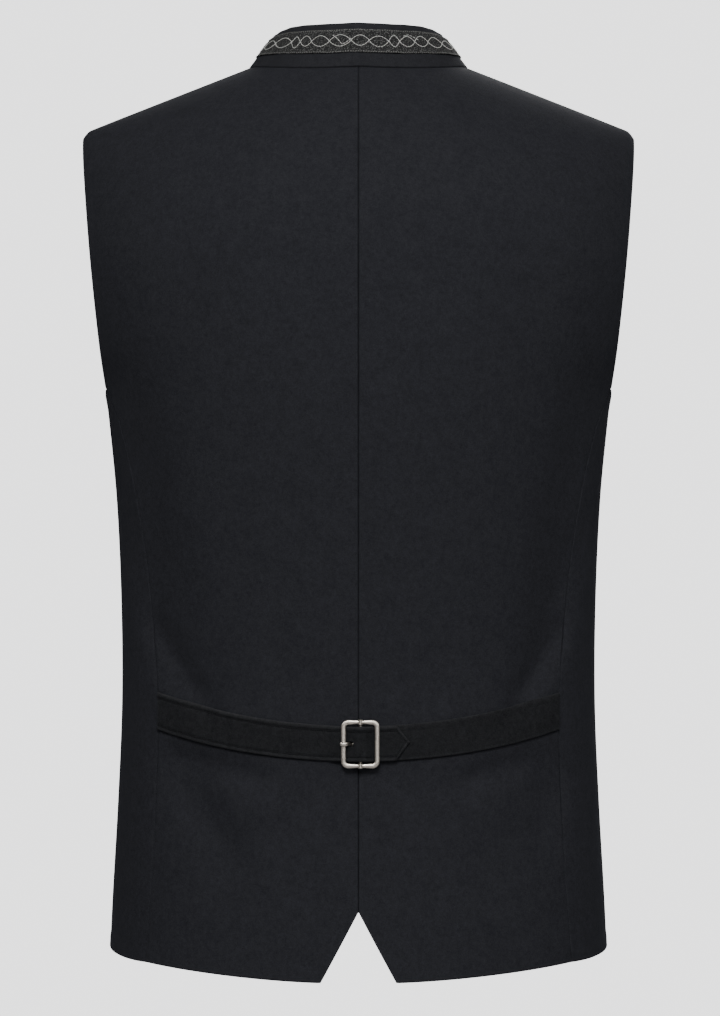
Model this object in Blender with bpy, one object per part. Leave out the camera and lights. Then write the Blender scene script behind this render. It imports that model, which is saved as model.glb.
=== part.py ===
"""Black stand-collar waistcoat, filled out as it hangs on a wearer, with nobody in it.

All the cloth lies on one body form: level rings, whose half-breadth and depths stand in the table
RINGS, closed above by the two shoulder ridges. Each panel is a wall on that form, bounded by its
own seams and edges, and the collar, the ribbon and the cinch belt are laid on from the same points.

Metres, +Z up. The front faces -Y and the left side is +X. The origin is on the mid-plane inside
the neck, at the height where the shoulders carry the garment.
"""

import math
from collections import namedtuple

import bpy
from mathutils import Vector

# Driving dimensions of the cloth
WALL = 0.0020
SEAM_GAP = 0.0003
NECK_HALF_BREADTH = 0.0768
NECK_BACK_DEPTH = 0.067
NECK_FRONT_DEPTH = 0.073
SHOULDER_TIP_X = 0.1930
SHOULDER_SLOPE = 0.388
UNDERARM_HEIGHT = -0.2268
SIDE_HEM_HEIGHT = -0.6190

# Body form. The mid-line is where the shoulder ridges and the widest side points lie.
MIDLINE_Y = -0.005
RING_POWER = 2.35
RIDGE_AT_CENTRE = 0.0170
RIDGE_AT_NECK = -0.0018
RIDGE_NECK_CURVE = 1.62
TIP_ROUND_START = 0.186
TIP_ROUND_DROP = 0.0045
BACK_SHOULDER_ROUND = 0.130
FRONT_SHOULDER_ROUND = 0.300
TIP_HEIGHT = RIDGE_AT_NECK - SHOULDER_SLOPE * (SHOULDER_TIP_X - NECK_HALF_BREADTH) - TIP_ROUND_DROP

Ring = namedtuple("Ring", "height half_breadth back_depth front_depth")
RINGS = [
    Ring(0.030, 0.2000, 0.1100, 0.0860),
    Ring(-0.048, 0.2000, 0.1190, 0.1000),
    Ring(-0.094, 0.1990, 0.1255, 0.1100),
    Ring(-0.129, 0.1975, 0.1290, 0.1175),
    Ring(-0.164, 0.1930, 0.1300, 0.1235),
    Ring(-0.199, 0.1860, 0.1295, 0.1275),
    Ring(-0.227, 0.1775, 0.1280, 0.1290),
    Ring(-0.251, 0.1742, 0.1260, 0.1295),
    Ring(-0.304, 0.1692, 0.1200, 0.1280),
    Ring(-0.374, 0.1660, 0.1125, 0.1250),
    Ring(-0.444, 0.1655, 0.1070, 0.1225),
    Ring(-0.514, 0.1683, 0.1090, 0.1215),
    Ring(-0.584, 0.1722, 0.1140, 0.1210),
    Ring(-0.660, 0.1755, 0.1180, 0.1215),
]

# Soft hollows in the back, where the cinch belt draws the waist in
Hollow = namedtuple("Hollow", "top_x top_height bottom_x bottom_height depth half_width")
HOLLOWS = [
    Hollow(0.168, -0.205, 0.115, -0.425, 0.0042, 0.022),
    Hollow(0.128, -0.478, 0.078, -0.580, 0.0036, 0.020),
    Hollow(-0.163, -0.198, -0.117, -0.425, 0.0038, 0.023),
    Hollow(-0.130, -0.478, -0.090, -0.566, 0.0040, 0.019),
]

# Edges of the panels. x is the distance from the mid-plane.
Stop = namedtuple("Stop", "x height")
BACK_ARMHOLE = [
    Stop(SHOULDER_TIP_X, TIP_HEIGHT),
    Stop(0.1912, -0.0720),
    Stop(0.1890, -0.0940),
    Stop(0.1855, -0.1290),
    Stop(0.1820, -0.1640),
    Stop(0.1785, -0.1990),
    Stop(0.1754, UNDERARM_HEIGHT),
]
SIDE_SEAM = [
    Stop(0.1754, UNDERARM_HEIGHT),
    Stop(0.1650, -0.2500),
    Stop(0.1548, -0.2900),
    Stop(0.1450, -0.3500),
    Stop(0.1372, -0.4400),
    Stop(0.1398, -0.5400),
    Stop(0.1452, SIDE_HEM_HEIGHT),
]
# Front armhole, as the angle round the ring from centre front
Bend = namedtuple("Bend", "angle height")
FRONT_ARMHOLE_SIDE = [
    Bend(66.0, -0.0750),
    Bend(57.5, -0.1120),
    Bend(53.5, -0.1450),
    Bend(55.0, -0.1800),
    Bend(62.0, -0.2080),
]
FRONT_ARMHOLE_UNDER = [
    Bend(62.0, -0.2080),
    Bend(70.0, -0.2225),
    Bend(79.0, -0.2310),
    Bend(89.0, -0.2330),
]

# Hem: notch at centre back, two points and a cut-away at centre front
NOTCH_TOP = -0.5805
NOTCH_HALF_WIDTH = 0.0254
BACK_HEM_LOWEST = -0.6280
FRONT_POINT_X = 0.070
FRONT_POINT_HEIGHT = -0.6400
FRONT_CUTAWAY_TOP = -0.5600
SIDE_HEM_MIDDLE = -0.6150
FRONT_OVERLAP = 0.012
UNDERLAP_FULL_X = 0.016
UNDERLAP_END_X = 0.036

# Stand collar and its ribbon
COLLAR_WALL = 0.0024
COLLAR_BACK_HEIGHT = 0.0311
COLLAR_SIDE_HEIGHT = 0.0228
COLLAR_FRONT_HEIGHT = 0.0275
COLLAR_LEAN_BACK = 0.22
COLLAR_LEAN_SIDE = 0.78
COLLAR_LEAN_FRONT = 0.42
COLLAR_FRONT_GAP = 0.004
COLLAR_CORNER = 0.0068
CORNER_DROP_SHARE = 0.6
RIBBON_WALL = 0.0010
RIBBON_GAP = 0.0004
RIBBON_LOW = 0.31
RIBBON_HIGH = 0.84
RIBBON_FRONT_GAP = 0.0110

# Cinch belt, in two straps
BELT_WALL = 0.0019
BELT_CENTRE_HEIGHT = -0.4680
BELT_RISE = 0.0204
BELT_HALF_SIDE = 0.0127
BELT_HALF_MIDDLE = 0.0119
TAIL_CORNER_X = -0.0252
TAIL_TIP_X = -0.0342

# Buckle
BUCKLE_X = -0.0013
BUCKLE_WIDTH = 0.0260
BUCKLE_HEIGHT = 0.0318
BUCKLE_CORNER = 0.0046
BUCKLE_RAIL = 0.0034
BUCKLE_END_RAIL = 0.0025
BUCKLE_DEPTH = 0.0024
BUCKLE_OFFSET = 0.0059
BAR_RADIUS = 0.0011
BAR_OFFSET = 0.00385
LUG_HALF_WIDTH = 0.0017
LUG_OVERHANG = 0.0006
LOOP_RADIUS = 0.00355
PRONG_HALF_WIDTH = 0.0013
PRONG_HALF_DEPTH = 0.0007
PRONG_TIP_SHARE = 0.6
SLIT_ROOM = 0.0004
LOOP_STEPS = 8
LOOP_RETURN = 0.0028
CORNER_STEPS = 4
BELT_END_X = 0.1364
SLIT_NEAR = 0.0048
SLIT_FAR = 0.0096
SLOT_NEAR = 0.0006
SLOT_FAR = 0.0060
CUTTER_REACH = 0.0140
LIFT_START = 0.0240
LOOP_START = 0.0012
LEFT_STATIONS = 12
RIGHT_STATIONS = 13
SECTION_SIDES = 8
SECTION_FULLNESS = 0.7
BAR_SIDES = 10

# Heights over the cloth, at distances from the buckle's middle line towards the left side
Lift = namedtuple("Lift", "off_x offset")
STRAP_LIFTS = [
    Lift(0.0185, 0.0012),
    Lift(0.0142, 0.0024),
    Lift(0.0098, 0.0025),
    Lift(0.0070, 0.0044),
    Lift(0.0040, 0.0066),
    Lift(0.0018, 0.0076),
    Lift(-0.0010, 0.0078),
    Lift(-0.0033, 0.0077),
    Lift(-0.0062, 0.0052),
    Lift(-0.0092, 0.0026),
    Lift(-0.0135, 0.0025),
    Lift(-0.0185, 0.0025),
]
PRONG_PATH = [
    Lift(0.0016, 0.0039),
    Lift(0.0044, 0.0038),
    Lift(0.0060, 0.0040),
    Lift(0.0073, 0.0052),
    Lift(0.0084, 0.0068),
    Lift(0.0096, 0.0079),
    Lift(0.0115, 0.0082),
    Lift(0.0131, 0.0080),
    Lift(0.0137, 0.0079),
]

# Buttons at centre front
BUTTON_COUNT = 8
BUTTON_GAP = 0.0004
BUTTON_TOP = -0.0960
BUTTON_BOTTOM = -0.5330
Lathe = namedtuple("Lathe", "radius height")
BUTTON_PROFILE = [
    Lathe(0.0062, 0.0000),
    Lathe(0.0075, 0.0009),
    Lathe(0.0072, 0.0018),
    Lathe(0.0052, 0.0029),
    Lathe(0.0022, 0.0034),
]

# Small values of the construction
ANGLE_STEP = 0.004
DROP_STEP = 0.0006
TURN_STEP = 0.01
HEIGHT_ROUNDS = 5
NECK_ROUNDS = 12
HOLLOW_FADE_START = 0.25
HOLLOW_FADE = 0.6
HEM_CURVE = 1.4
NOTCH_FADE = 6
SIDE_MIDDLE_ANGLE = math.radians(85)
CHEST_DIP = 0.006
SHOULDER_CROWDING = 0.25
HEM_SPREAD = 3
CHEST_SPREAD = 1.5
FRONT_HEM_FADE = 3
COLLAR_SIDE_POWER = 5
END_CLEARANCE = 0.03
SHARP_ANGLE = math.radians(40)

# Mesh fineness
ARMHOLE_ROWS = 10
SEAM_ROWS = 16
NECK_COLUMNS = 6
SHOULDER_COLUMNS = 9
UNDERARM_COLUMNS = 5
BUTTON_SIDES = 16

CLOTH_COLOUR = (0.0130, 0.0135, 0.0165)
RIBBON_COLOUR = (0.100, 0.100, 0.095)
NICKEL_COLOUR = (0.620, 0.590, 0.550)


def make_material(name, colour, roughness, metallic):
    """Principled material of one colour."""
    material = bpy.data.materials.new(name)
    material.use_nodes = True
    shader = material.node_tree.nodes["Principled BSDF"]
    shader.inputs["Base Color"].default_value = (*colour, 1.0)
    shader.inputs["Roughness"].default_value = roughness
    shader.inputs["Metallic"].default_value = metallic
    material.diffuse_color = (*colour, 1.0)
    return material


def smooth_value(rows, key, column, at):
    """Value of a table's column, on a smooth curve through its rows, which run down in key."""
    keys = [getattr(row, key) for row in rows]
    values = [getattr(row, column) for row in rows]
    last = len(rows) - 1

    def slope(i):
        low = max(i - 1, 0)
        high = min(i + 1, last)
        return (values[high] - values[low]) / (keys[high] - keys[low])

    if at >= keys[0]:
        return values[0] + slope(0) * (at - keys[0])
    if at <= keys[last]:
        return values[last] + slope(last) * (at - keys[last])
    i = next(k for k in range(last) if keys[k] >= at >= keys[k + 1])
    span = keys[i + 1] - keys[i]
    t = (at - keys[i]) / span
    start = (2 * t**3 - 3 * t**2 + 1) * values[i] + (t**3 - 2 * t**2 + t) * span * slope(i)
    end = (3 * t**2 - 2 * t**3) * values[i + 1] + (t**3 - t**2) * span * slope(i + 1)
    return start + end


def ease(t):
    """Smooth step from 0 to 1."""
    t = min(max(t, 0.0), 1.0)
    return t * t * (3 - 2 * t)


def signed_power(value, power):
    """Power of a number that keeps its sign."""
    return math.copysign(abs(value) ** power, value)


def half_breadth(height):
    """Half-breadth of the ring at a height."""
    return smooth_value(RINGS, "height", "half_breadth", height)


def ridge_height(x):
    """Height of the shoulder ridge, which runs on inwards under the neck as a flat arch."""
    x = abs(x)
    if x < NECK_HALF_BREADTH:
        fall = (x / NECK_HALF_BREADTH) ** RIDGE_NECK_CURVE
        return RIDGE_AT_CENTRE - (RIDGE_AT_CENTRE - RIDGE_AT_NECK) * fall
    past_round = max(x - TIP_ROUND_START, 0.0) / (SHOULDER_TIP_X - TIP_ROUND_START)
    slope_drop = SHOULDER_SLOPE * (x - NECK_HALF_BREADTH)
    return RIDGE_AT_NECK - slope_drop - TIP_ROUND_DROP * past_round**2


def fullness(drop, shoulder_round):
    """Share of the full depth that the form has reached at a drop below the ridge."""
    t = min(max(drop / shoulder_round, 0.0), 1.0)
    return math.sqrt(1 - (1 - t) ** 2)


def hollow_depth(x, height):
    """Depth of the soft hollows at a place on the back."""
    depth = 0.0
    for hollow in HOLLOWS:
        along_x = hollow.bottom_x - hollow.top_x
        along_z = hollow.bottom_height - hollow.top_height
        length = math.hypot(along_x, along_z)
        off_x = x - hollow.top_x
        off_z = height - hollow.top_height
        t = (off_x * along_x + off_z * along_z) / length**2
        across = abs(off_x * along_z - off_z * along_x) / length
        profile = math.exp(-((across / hollow.half_width) ** 2))
        taper = ease((t + HOLLOW_FADE_START) / HOLLOW_FADE)
        taper *= ease((1 + HOLLOW_FADE_START - t) / HOLLOW_FADE)
        depth += hollow.depth * profile * taper
    return depth


def form_from_drop(angle, drop, side):
    """Point of the form at an angle from centre front and a drop below the shoulder ridge."""
    across = signed_power(math.sin(angle), 2 / RING_POWER)
    height = -drop
    for _ in range(HEIGHT_ROUNDS):
        x = half_breadth(height) * across
        height = ridge_height(x) - drop
    reach = signed_power(math.cos(angle), 2 / RING_POWER)
    if reach > 0:
        depth = smooth_value(RINGS, "height", "front_depth", height)
        y = MIDLINE_Y - depth * reach * fullness(drop, FRONT_SHOULDER_ROUND)
    else:
        depth = smooth_value(RINGS, "height", "back_depth", height)
        share = fullness(drop, BACK_SHOULDER_ROUND)
        y = MIDLINE_Y - depth * reach * share - hollow_depth(side * x, height) * share
    return Vector((side * x, y, height))


def form_with_normal(angle, height, side):
    """Point of the form at an angle and a height, with its outward direction."""
    x = half_breadth(height) * signed_power(math.sin(angle), 2 / RING_POWER)
    drop = max(ridge_height(x) - height, 0.0)
    point = form_from_drop(angle, drop, side)
    round_ring = form_from_drop(angle + ANGLE_STEP, drop, side)
    round_ring -= form_from_drop(angle - ANGLE_STEP, drop, side)
    down = form_from_drop(angle, drop + DROP_STEP, side)
    down -= form_from_drop(angle, max(drop - DROP_STEP, 0.0), side)
    normal = round_ring.cross(down).normalized()
    outward = Vector((point.x, point.y - MIDLINE_Y, half_breadth(height) / 10))
    if normal.dot(outward) < 0:
        normal.negate()
    return point, normal


def angle_at(x, height):
    """Angle from centre front of a place on the front half at a distance x."""
    share = min(abs(x) / half_breadth(height), 1.0)
    return math.copysign(math.asin(share ** (RING_POWER / 2)), x)


def back_place(x, height):
    """Point on the back and its outward direction, by x and height."""
    side = 1 if x >= 0 else -1
    return form_with_normal(math.pi - angle_at(abs(x), height), height, side)


def neck_point(turn):
    """Point of the neck seam; turn is 0 at centre back and pi at centre front."""
    x = NECK_HALF_BREADTH * math.sin(turn)
    at_back = math.cos(turn) >= 0
    depth_name = "back_depth" if at_back else "front_depth"
    reach = abs(math.cos(turn)) * (NECK_BACK_DEPTH if at_back else NECK_FRONT_DEPTH)
    shoulder_round = BACK_SHOULDER_ROUND if at_back else FRONT_SHOULDER_ROUND
    height = RIDGE_AT_NECK
    for _ in range(NECK_ROUNDS):
        ring_share = min(abs(x) / half_breadth(height), 1.0) ** RING_POWER
        depth = smooth_value(RINGS, "height", depth_name, height)
        depth *= (1 - ring_share) ** (1 / RING_POWER)
        share = min(reach / depth, 1.0)
        height = ridge_height(x) - shoulder_round * (1 - math.sqrt(1 - share**2))
    return Vector((x, MIDLINE_Y + math.copysign(reach, math.cos(turn)), height))


def back_hem(x):
    """Height of the back's hem, with the notch at the centre."""
    x = abs(x)
    if x < NOTCH_HALF_WIDTH:
        return NOTCH_TOP + (BACK_HEM_LOWEST - NOTCH_TOP) * x / NOTCH_HALF_WIDTH
    out = (x - NOTCH_HALF_WIDTH) / (SIDE_SEAM[-1].x - NOTCH_HALF_WIDTH)
    return BACK_HEM_LOWEST + (SIDE_HEM_HEIGHT - BACK_HEM_LOWEST) * min(out, 1.0) ** HEM_CURVE


def front_hem(angle):
    """Height of the front's hem at an angle from centre front."""
    point_angle = angle_at(FRONT_POINT_X, FRONT_POINT_HEIGHT)
    if angle < point_angle:
        share = max(angle, 0.0) / point_angle
        return FRONT_CUTAWAY_TOP + (FRONT_POINT_HEIGHT - FRONT_CUTAWAY_TOP) * share
    if angle < SIDE_MIDDLE_ANGLE:
        share = ease((angle - point_angle) / (SIDE_MIDDLE_ANGLE - point_angle))
        return FRONT_POINT_HEIGHT + (SIDE_HEM_MIDDLE - FRONT_POINT_HEIGHT) * share
    hem_seam = math.pi - angle_at(SIDE_SEAM[-1].x, SIDE_HEM_HEIGHT)
    share = ease((angle - SIDE_MIDDLE_ANGLE) / (hem_seam - SIDE_MIDDLE_ANGLE))
    return SIDE_HEM_MIDDLE + (SIDE_HEM_HEIGHT - SIDE_HEM_MIDDLE) * share


def build_wall(name, face_points, under_points, cells, material):
    """Closed wall between two layers of points that share the same cells."""
    count = len(face_points)
    faces = [tuple(cell) for cell in cells]
    edges = set()
    for cell in cells:
        edges.update(zip(cell, cell[1:] + cell[:1]))
    faces += [tuple(count + index for index in reversed(cell)) for cell in cells]
    for start, end in edges:
        if (end, start) not in edges:
            faces.append((end, start, count + start, count + end))
    mesh = bpy.data.meshes.new(name)
    mesh.from_pydata(face_points + under_points, [], faces)
    obj = bpy.data.objects.new(name, mesh)
    bpy.context.scene.collection.objects.link(obj)
    finish_mesh(obj, material)
    return obj


def face_outwards(mesh):
    """Turn the faces of a closed mesh outwards."""
    volume = 0.0
    for polygon in mesh.polygons:
        corners = [mesh.vertices[index].co for index in polygon.vertices]
        for second, third in zip(corners[1:-1], corners[2:]):
            volume += corners[0].dot(second.cross(third))
    if volume < 0:
        mesh.flip_normals()


def finish_mesh(obj, material):
    """Turn the faces outwards, shade smooth between sharp edges and give the material."""
    mesh = obj.data
    face_outwards(mesh)
    mesh.shade_smooth()
    mesh.set_sharp_from_angle(angle=SHARP_ANGLE)
    mesh.materials.clear()
    mesh.materials.append(material)


def grid_cells(rows, columns, missing=None):
    """Grid cells, split the same way in every layer; missing tells which ones are left open."""
    cells = []
    for row in range(rows - 1):
        for column in range(columns - 1):
            if missing and missing(row, column):
                continue
            first = row * columns + column
            opposite = first + columns + 1
            cells.append([first, first + 1, opposite])
            cells.append([first, opposite, first + columns])
    return cells


def without_loose_points(points, cells):
    """Points that the cells use, and the cells with their new numbers."""
    used = sorted({index for cell in cells for index in cell})
    numbers = {old: new for new, old in enumerate(used)}
    return [points[old] for old in used], [[numbers[index] for index in cell] for cell in cells]


def aligned(fractions, target):
    """Fractions from 0 to 1 with the one nearest to the target moved onto it."""
    inner = range(1, len(fractions) - 1)
    nearest = min(inner, key=lambda i: abs(fractions[i] - target))
    pivot = fractions[nearest]
    moved = []
    for fraction in fractions:
        if fraction <= pivot:
            moved.append(fraction * target / pivot)
        else:
            moved.append(1 - (1 - fraction) * (1 - target) / (1 - pivot))
    return moved


def neck_turns(start_x, count):
    """Even turns round the neck, from a distance past the mid-plane to the neck point."""
    start = math.asin(start_x / NECK_HALF_BREADTH)
    return [start + (math.pi / 2 - start) * i / count for i in range(count + 1)]


def top_fractions(start_x, neck_count):
    """Columns of a panel's top edge: even turns round the neck, then even steps on the shoulder."""
    start = angle_at(start_x, RIDGE_AT_NECK)
    whole = angle_at(SHOULDER_TIP_X, TIP_HEIGHT) - start
    neck_places = [NECK_HALF_BREADTH * math.sin(turn) for turn in neck_turns(start_x, neck_count)]
    fractions = [(angle_at(x, RIDGE_AT_NECK) - start) / whole for x in neck_places]
    neck_share = fractions[-1]
    step = (1 - neck_share) / SHOULDER_COLUMNS
    fractions += [neck_share + step * i for i in range(1, SHOULDER_COLUMNS + 1)]
    return fractions, neck_share


def even_fractions(count):
    """Evenly spaced fractions from 0 to 1."""
    return [i / (count - 1) for i in range(count)]


def crowded_shares(count):
    """Shares from 0 to 1 that lie close together at the start, where the shoulder turns."""
    stretch = 1 + 2 * SHOULDER_CROWDING
    shares = []
    for i in range(count + 1):
        root = math.sqrt(SHOULDER_CROWDING**2 + stretch * (i / count) ** 2)
        shares.append(root - SHOULDER_CROWDING)
    return shares


def blend(start, end, share):
    """Straight blend of two values."""
    return start + (end - start) * share


def seam_angle(height):
    """Angle of the side seam from centre back."""
    return angle_at(smooth_value(SIDE_SEAM, "height", "x", height), height)


def gap_angle(height):
    """Angle that half a seam gap takes up at the side seam."""
    return SEAM_GAP / 2 / half_breadth(height)


def seam_heights():
    """Heights of the rows along the side seam, the same on front and back."""
    return [blend(UNDERARM_HEIGHT, SIDE_HEM_HEIGHT, k / SEAM_ROWS) for k in range(SEAM_ROWS + 1)]


def top_height(angle, at_front):
    """Height of a panel's top edge: the neck seam inside the neck point, then the ridge."""
    height = RIDGE_AT_NECK
    for _ in range(4):
        x = half_breadth(height) * signed_power(math.sin(angle), 2 / RING_POWER)
        if abs(x) >= NECK_HALF_BREADTH:
            height = ridge_height(x)
        else:
            turn = math.asin(x / NECK_HALF_BREADTH)
            height = neck_point(math.pi - turn if at_front else turn).z
    return height


def wall_points(places, side, sunk=None):
    """Outer and inner points of a wall on the form, from rows of (angle, height, seam shift)."""
    face_points = []
    under_points = []
    for angle, height, shift in places:
        point, normal = form_with_normal(angle, height, side)
        if shift:
            normal.y = 0.0
            normal.normalize()
            point.y += shift
        if sunk:
            point -= normal * sunk(side * point.x)
        face_points.append(point)
        under_points.append(point - normal * WALL)
    return face_points, under_points


def build_back(name, side, material):
    """Half back: centre seam, neck, shoulder, armhole, side seam and notched hem."""
    tip = BACK_ARMHOLE[0]
    fractions, neck_share = top_fractions(SEAM_GAP / 2, NECK_COLUMNS)
    hem_angle = seam_angle(SIDE_HEM_HEIGHT)
    notch_share = angle_at(NOTCH_HALF_WIDTH, BACK_HEM_LOWEST) / hem_angle
    hem_fractions = aligned(even_fractions(len(fractions)), notch_share)
    edge_heights = [
        blend(tip.height, UNDERARM_HEIGHT, share) for share in crowded_shares(ARMHOLE_ROWS)
    ]
    edge_heights += seam_heights()[1:]
    places = []
    for edge_height in edge_heights:
        share_down = (edge_height - tip.height) / (SIDE_HEM_HEIGHT - tip.height)
        if edge_height > UNDERARM_HEIGHT:
            edge = angle_at(smooth_value(BACK_ARMHOLE, "height", "x", edge_height), edge_height)
        else:
            edge = seam_angle(edge_height) - gap_angle(edge_height)
        start = angle_at(SEAM_GAP / 2, edge_height)
        for fraction, hem_fraction in zip(fractions, hem_fractions):
            angle = blend(start, edge, blend(fraction, hem_fraction, ease(HEM_SPREAD * share_down)))
            top_angle = blend(start, angle_at(tip.x, tip.height), fraction)
            hem_x = half_breadth(SIDE_HEM_HEIGHT) * math.sin(hem_angle * hem_fraction) ** (
                2 / RING_POWER
            )
            top = top_height(top_angle, at_front=False)
            plain_hem = back_hem(max(hem_x, NOTCH_HALF_WIDTH))
            height = blend(top, plain_hem, share_down)
            height += (back_hem(hem_x) - plain_hem) * share_down**NOTCH_FADE
            on_ridge = share_down == 0 and fraction >= neck_share
            places.append((math.pi - angle, height, SEAM_GAP / 2 if on_ridge else 0.0))
    face_points, under_points = wall_points(places, side)
    cells = grid_cells(len(edge_heights), len(fractions))
    return build_wall(name, face_points, under_points, cells, material)


def underlap_depth(x):
    """How far the right front sinks under the left one, by the distance from the mid-plane."""
    share = ease((UNDERLAP_END_X - x) / (UNDERLAP_END_X - UNDERLAP_FULL_X))
    return share * (WALL + 2 * SEAM_GAP)


def front_upper_places(fractions, low_row, at_neck):
    """Rows of the front above the underarm, out to the front edge of the armhole."""
    tip = BACK_ARMHOLE[0]
    tip_angle = angle_at(tip.x, tip.height)
    armhole = [Bend(math.degrees(tip_angle), tip.height)] + FRONT_ARMHOLE_SIDE
    places = []
    for share in crowded_shares(ARMHOLE_ROWS)[:-1]:
        edge_height = blend(tip.height, FRONT_ARMHOLE_SIDE[-1].height, share)
        edge = math.radians(smooth_value(armhole, "height", "angle", edge_height))
        start = angle_at(-FRONT_OVERLAP, edge_height)
        even = even_fractions(len(fractions))
        for fraction, low_fraction, (_, low_height, _) in zip(fractions, even, low_row):
            top = top_height(blend(start, tip_angle, fraction), at_front=True)
            on_ridge = share == 0 and fraction >= at_neck
            shift = -SEAM_GAP / 2 if on_ridge else 0.0
            angle = blend(start, edge, blend(fraction, low_fraction, ease(CHEST_SPREAD * share)))
            places.append((angle, blend(top, low_height, share), shift))
        places += [None] * UNDERARM_COLUMNS
    return places


def front_underarm_row(count):
    """Row at the underarm: level across the chest, then along the foot of the armhole."""
    corner = FRONT_ARMHOLE_UNDER[0]
    corner_angle = math.radians(corner.angle)
    seam = math.pi - seam_angle(UNDERARM_HEIGHT) - gap_angle(UNDERARM_HEIGHT)
    start = angle_at(-FRONT_OVERLAP, UNDERARM_HEIGHT)
    row = []
    for fraction in even_fractions(count):
        height = blend(UNDERARM_HEIGHT - CHEST_DIP, corner.height, fraction**2)
        row.append((blend(start, corner_angle, fraction), height, 0.0))
    foot = [Bend(-bend.angle, bend.height) for bend in FRONT_ARMHOLE_UNDER]
    foot.append(Bend(-math.degrees(seam), UNDERARM_HEIGHT))
    for step in range(1, UNDERARM_COLUMNS + 1):
        angle = blend(corner_angle, seam, step / UNDERARM_COLUMNS)
        height = smooth_value(foot, "angle", "height", -math.degrees(angle))
        row.append((angle, height, 0.0))
    return row


def build_front(name, side, material, sunk=None):
    """Half front: from centre front round the side to the seam set towards the back."""
    fractions, neck_share = top_fractions(-FRONT_OVERLAP, NECK_COLUMNS + 1)
    low_row = front_underarm_row(len(fractions))
    places = front_upper_places(fractions, low_row, neck_share)
    first, last = low_row[0][0], low_row[-1][0]
    shares = [(angle - first) / (last - first) for angle, _, _ in low_row]
    hem_seam = math.pi - seam_angle(SIDE_HEM_HEIGHT)
    hem_start = angle_at(-FRONT_OVERLAP, FRONT_POINT_HEIGHT)
    point_angle = angle_at(FRONT_POINT_X, FRONT_POINT_HEIGHT)
    hem_shares = aligned(shares, (point_angle - hem_start) / (hem_seam - hem_start))
    for seam_height in seam_heights():
        down = (seam_height - UNDERARM_HEIGHT) / (SIDE_HEM_HEIGHT - UNDERARM_HEIGHT)
        edge = math.pi - seam_angle(seam_height) - gap_angle(seam_height)
        for (_, low_height, _), share, hem_share in zip(low_row, shares, hem_shares):
            start = angle_at(-FRONT_OVERLAP, seam_height)
            angle = blend(start, edge, blend(share, hem_share, ease(down)))
            hem = front_hem(blend(hem_start, hem_seam, hem_share))
            plain_hem = min(hem, SIDE_HEM_MIDDLE)
            height = blend(low_height, plain_hem, down) + (hem - plain_hem) * down**FRONT_HEM_FADE
            places.append((angle, height, 0.0))
    columns = len(low_row)
    rows = len(places) // columns
    neck_to_armhole = len(fractions) - 1

    def missing(row, column):
        return row < ARMHOLE_ROWS and column >= neck_to_armhole

    kept, cells = without_loose_points(places, grid_cells(rows, columns, missing))
    face_points, under_points = wall_points(kept, side, sunk)
    return build_wall(name, face_points, under_points, cells, material)


def collar_stations(front_gap):
    """Turns round the neck, on the panels' own columns, between the two ends at centre front."""
    end = math.pi - math.asin(front_gap / NECK_HALF_BREADTH)
    ribbon_end = math.pi - math.asin(RIBBON_FRONT_GAP / NECK_HALF_BREADTH)
    back = neck_turns(SEAM_GAP / 2, NECK_COLUMNS)
    front = [math.pi - turn for turn in neck_turns(-FRONT_OVERLAP, NECK_COLUMNS + 1)]
    half = back + [turn for turn in reversed(front[:-1]) if turn < ribbon_end - END_CLEARANCE]
    half += sorted({ribbon_end, end})
    half = [turn for turn in half if turn <= end]
    return [-turn for turn in reversed(half)] + half


def collar_point(turn, share):
    """Point of the collar's outer side, at a share of its height."""
    base = neck_point(turn) + Vector((0.0, 0.0, SEAM_GAP))
    sideways = math.sin(turn) ** 2
    at_back = math.cos(turn) >= 0
    middle = COLLAR_BACK_HEIGHT if at_back else COLLAR_FRONT_HEIGHT
    lean_middle = COLLAR_LEAN_BACK if at_back else COLLAR_LEAN_FRONT
    height = blend(middle, COLLAR_SIDE_HEIGHT, abs(math.sin(turn)) ** COLLAR_SIDE_POWER)
    lean = blend(lean_middle, COLLAR_LEAN_SIDE, sideways)
    inward = Vector((-math.sin(turn), -math.cos(turn), 0.0))
    return base + (Vector((0.0, 0.0, 1.0)) + inward * lean) * height * share


def collar_place(turn, share):
    """Point of the collar's outer side and its outward direction."""
    along = collar_point(turn + TURN_STEP, share) - collar_point(turn - TURN_STEP, share)
    up = collar_point(turn, share + TURN_STEP) - collar_point(turn, share - TURN_STEP)
    return collar_point(turn, share), along.cross(up).normalized()


def corner_share(turn):
    """Share of its height that the collar keeps at its rounded front corners."""
    off_end = abs(neck_point(turn).x) - COLLAR_FRONT_GAP
    if math.cos(turn) > 0 or off_end > COLLAR_CORNER:
        return 1.0
    drop = COLLAR_CORNER - math.sqrt(COLLAR_CORNER**2 - (COLLAR_CORNER - off_end) ** 2)
    return 1 - CORNER_DROP_SHARE * drop / COLLAR_FRONT_HEIGHT


def build_band(name, front_gap, shares, offset, wall, material):
    """Band round the neck through shares of the collar's height."""
    turns = collar_stations(front_gap)
    face_points = []
    under_points = []
    for share in shares:
        for turn in turns:
            point, normal = collar_place(turn, min(share, corner_share(turn)))
            face_points.append(point + normal * offset)
            under_points.append(point + normal * (offset - wall))
    return build_wall(name, face_points, under_points, grid_cells(len(shares), len(turns)), material)


def belt_middle(x):
    """Height of the cinch belt's middle line."""
    return BELT_CENTRE_HEIGHT + BELT_RISE * (x / SIDE_SEAM[4].x) ** 2


def belt_half(x):
    """Half the cinch belt's breadth."""
    return blend(BELT_HALF_MIDDLE, BELT_HALF_SIDE, ease(abs(x) / SIDE_SEAM[4].x))


def belt_point(x, across, offset):
    """Point over the back, at a share across the belt and an offset from the cloth."""
    height = belt_middle(x) + belt_half(x) * across
    point, normal = back_place(x, height)
    return point + normal * offset


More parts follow.
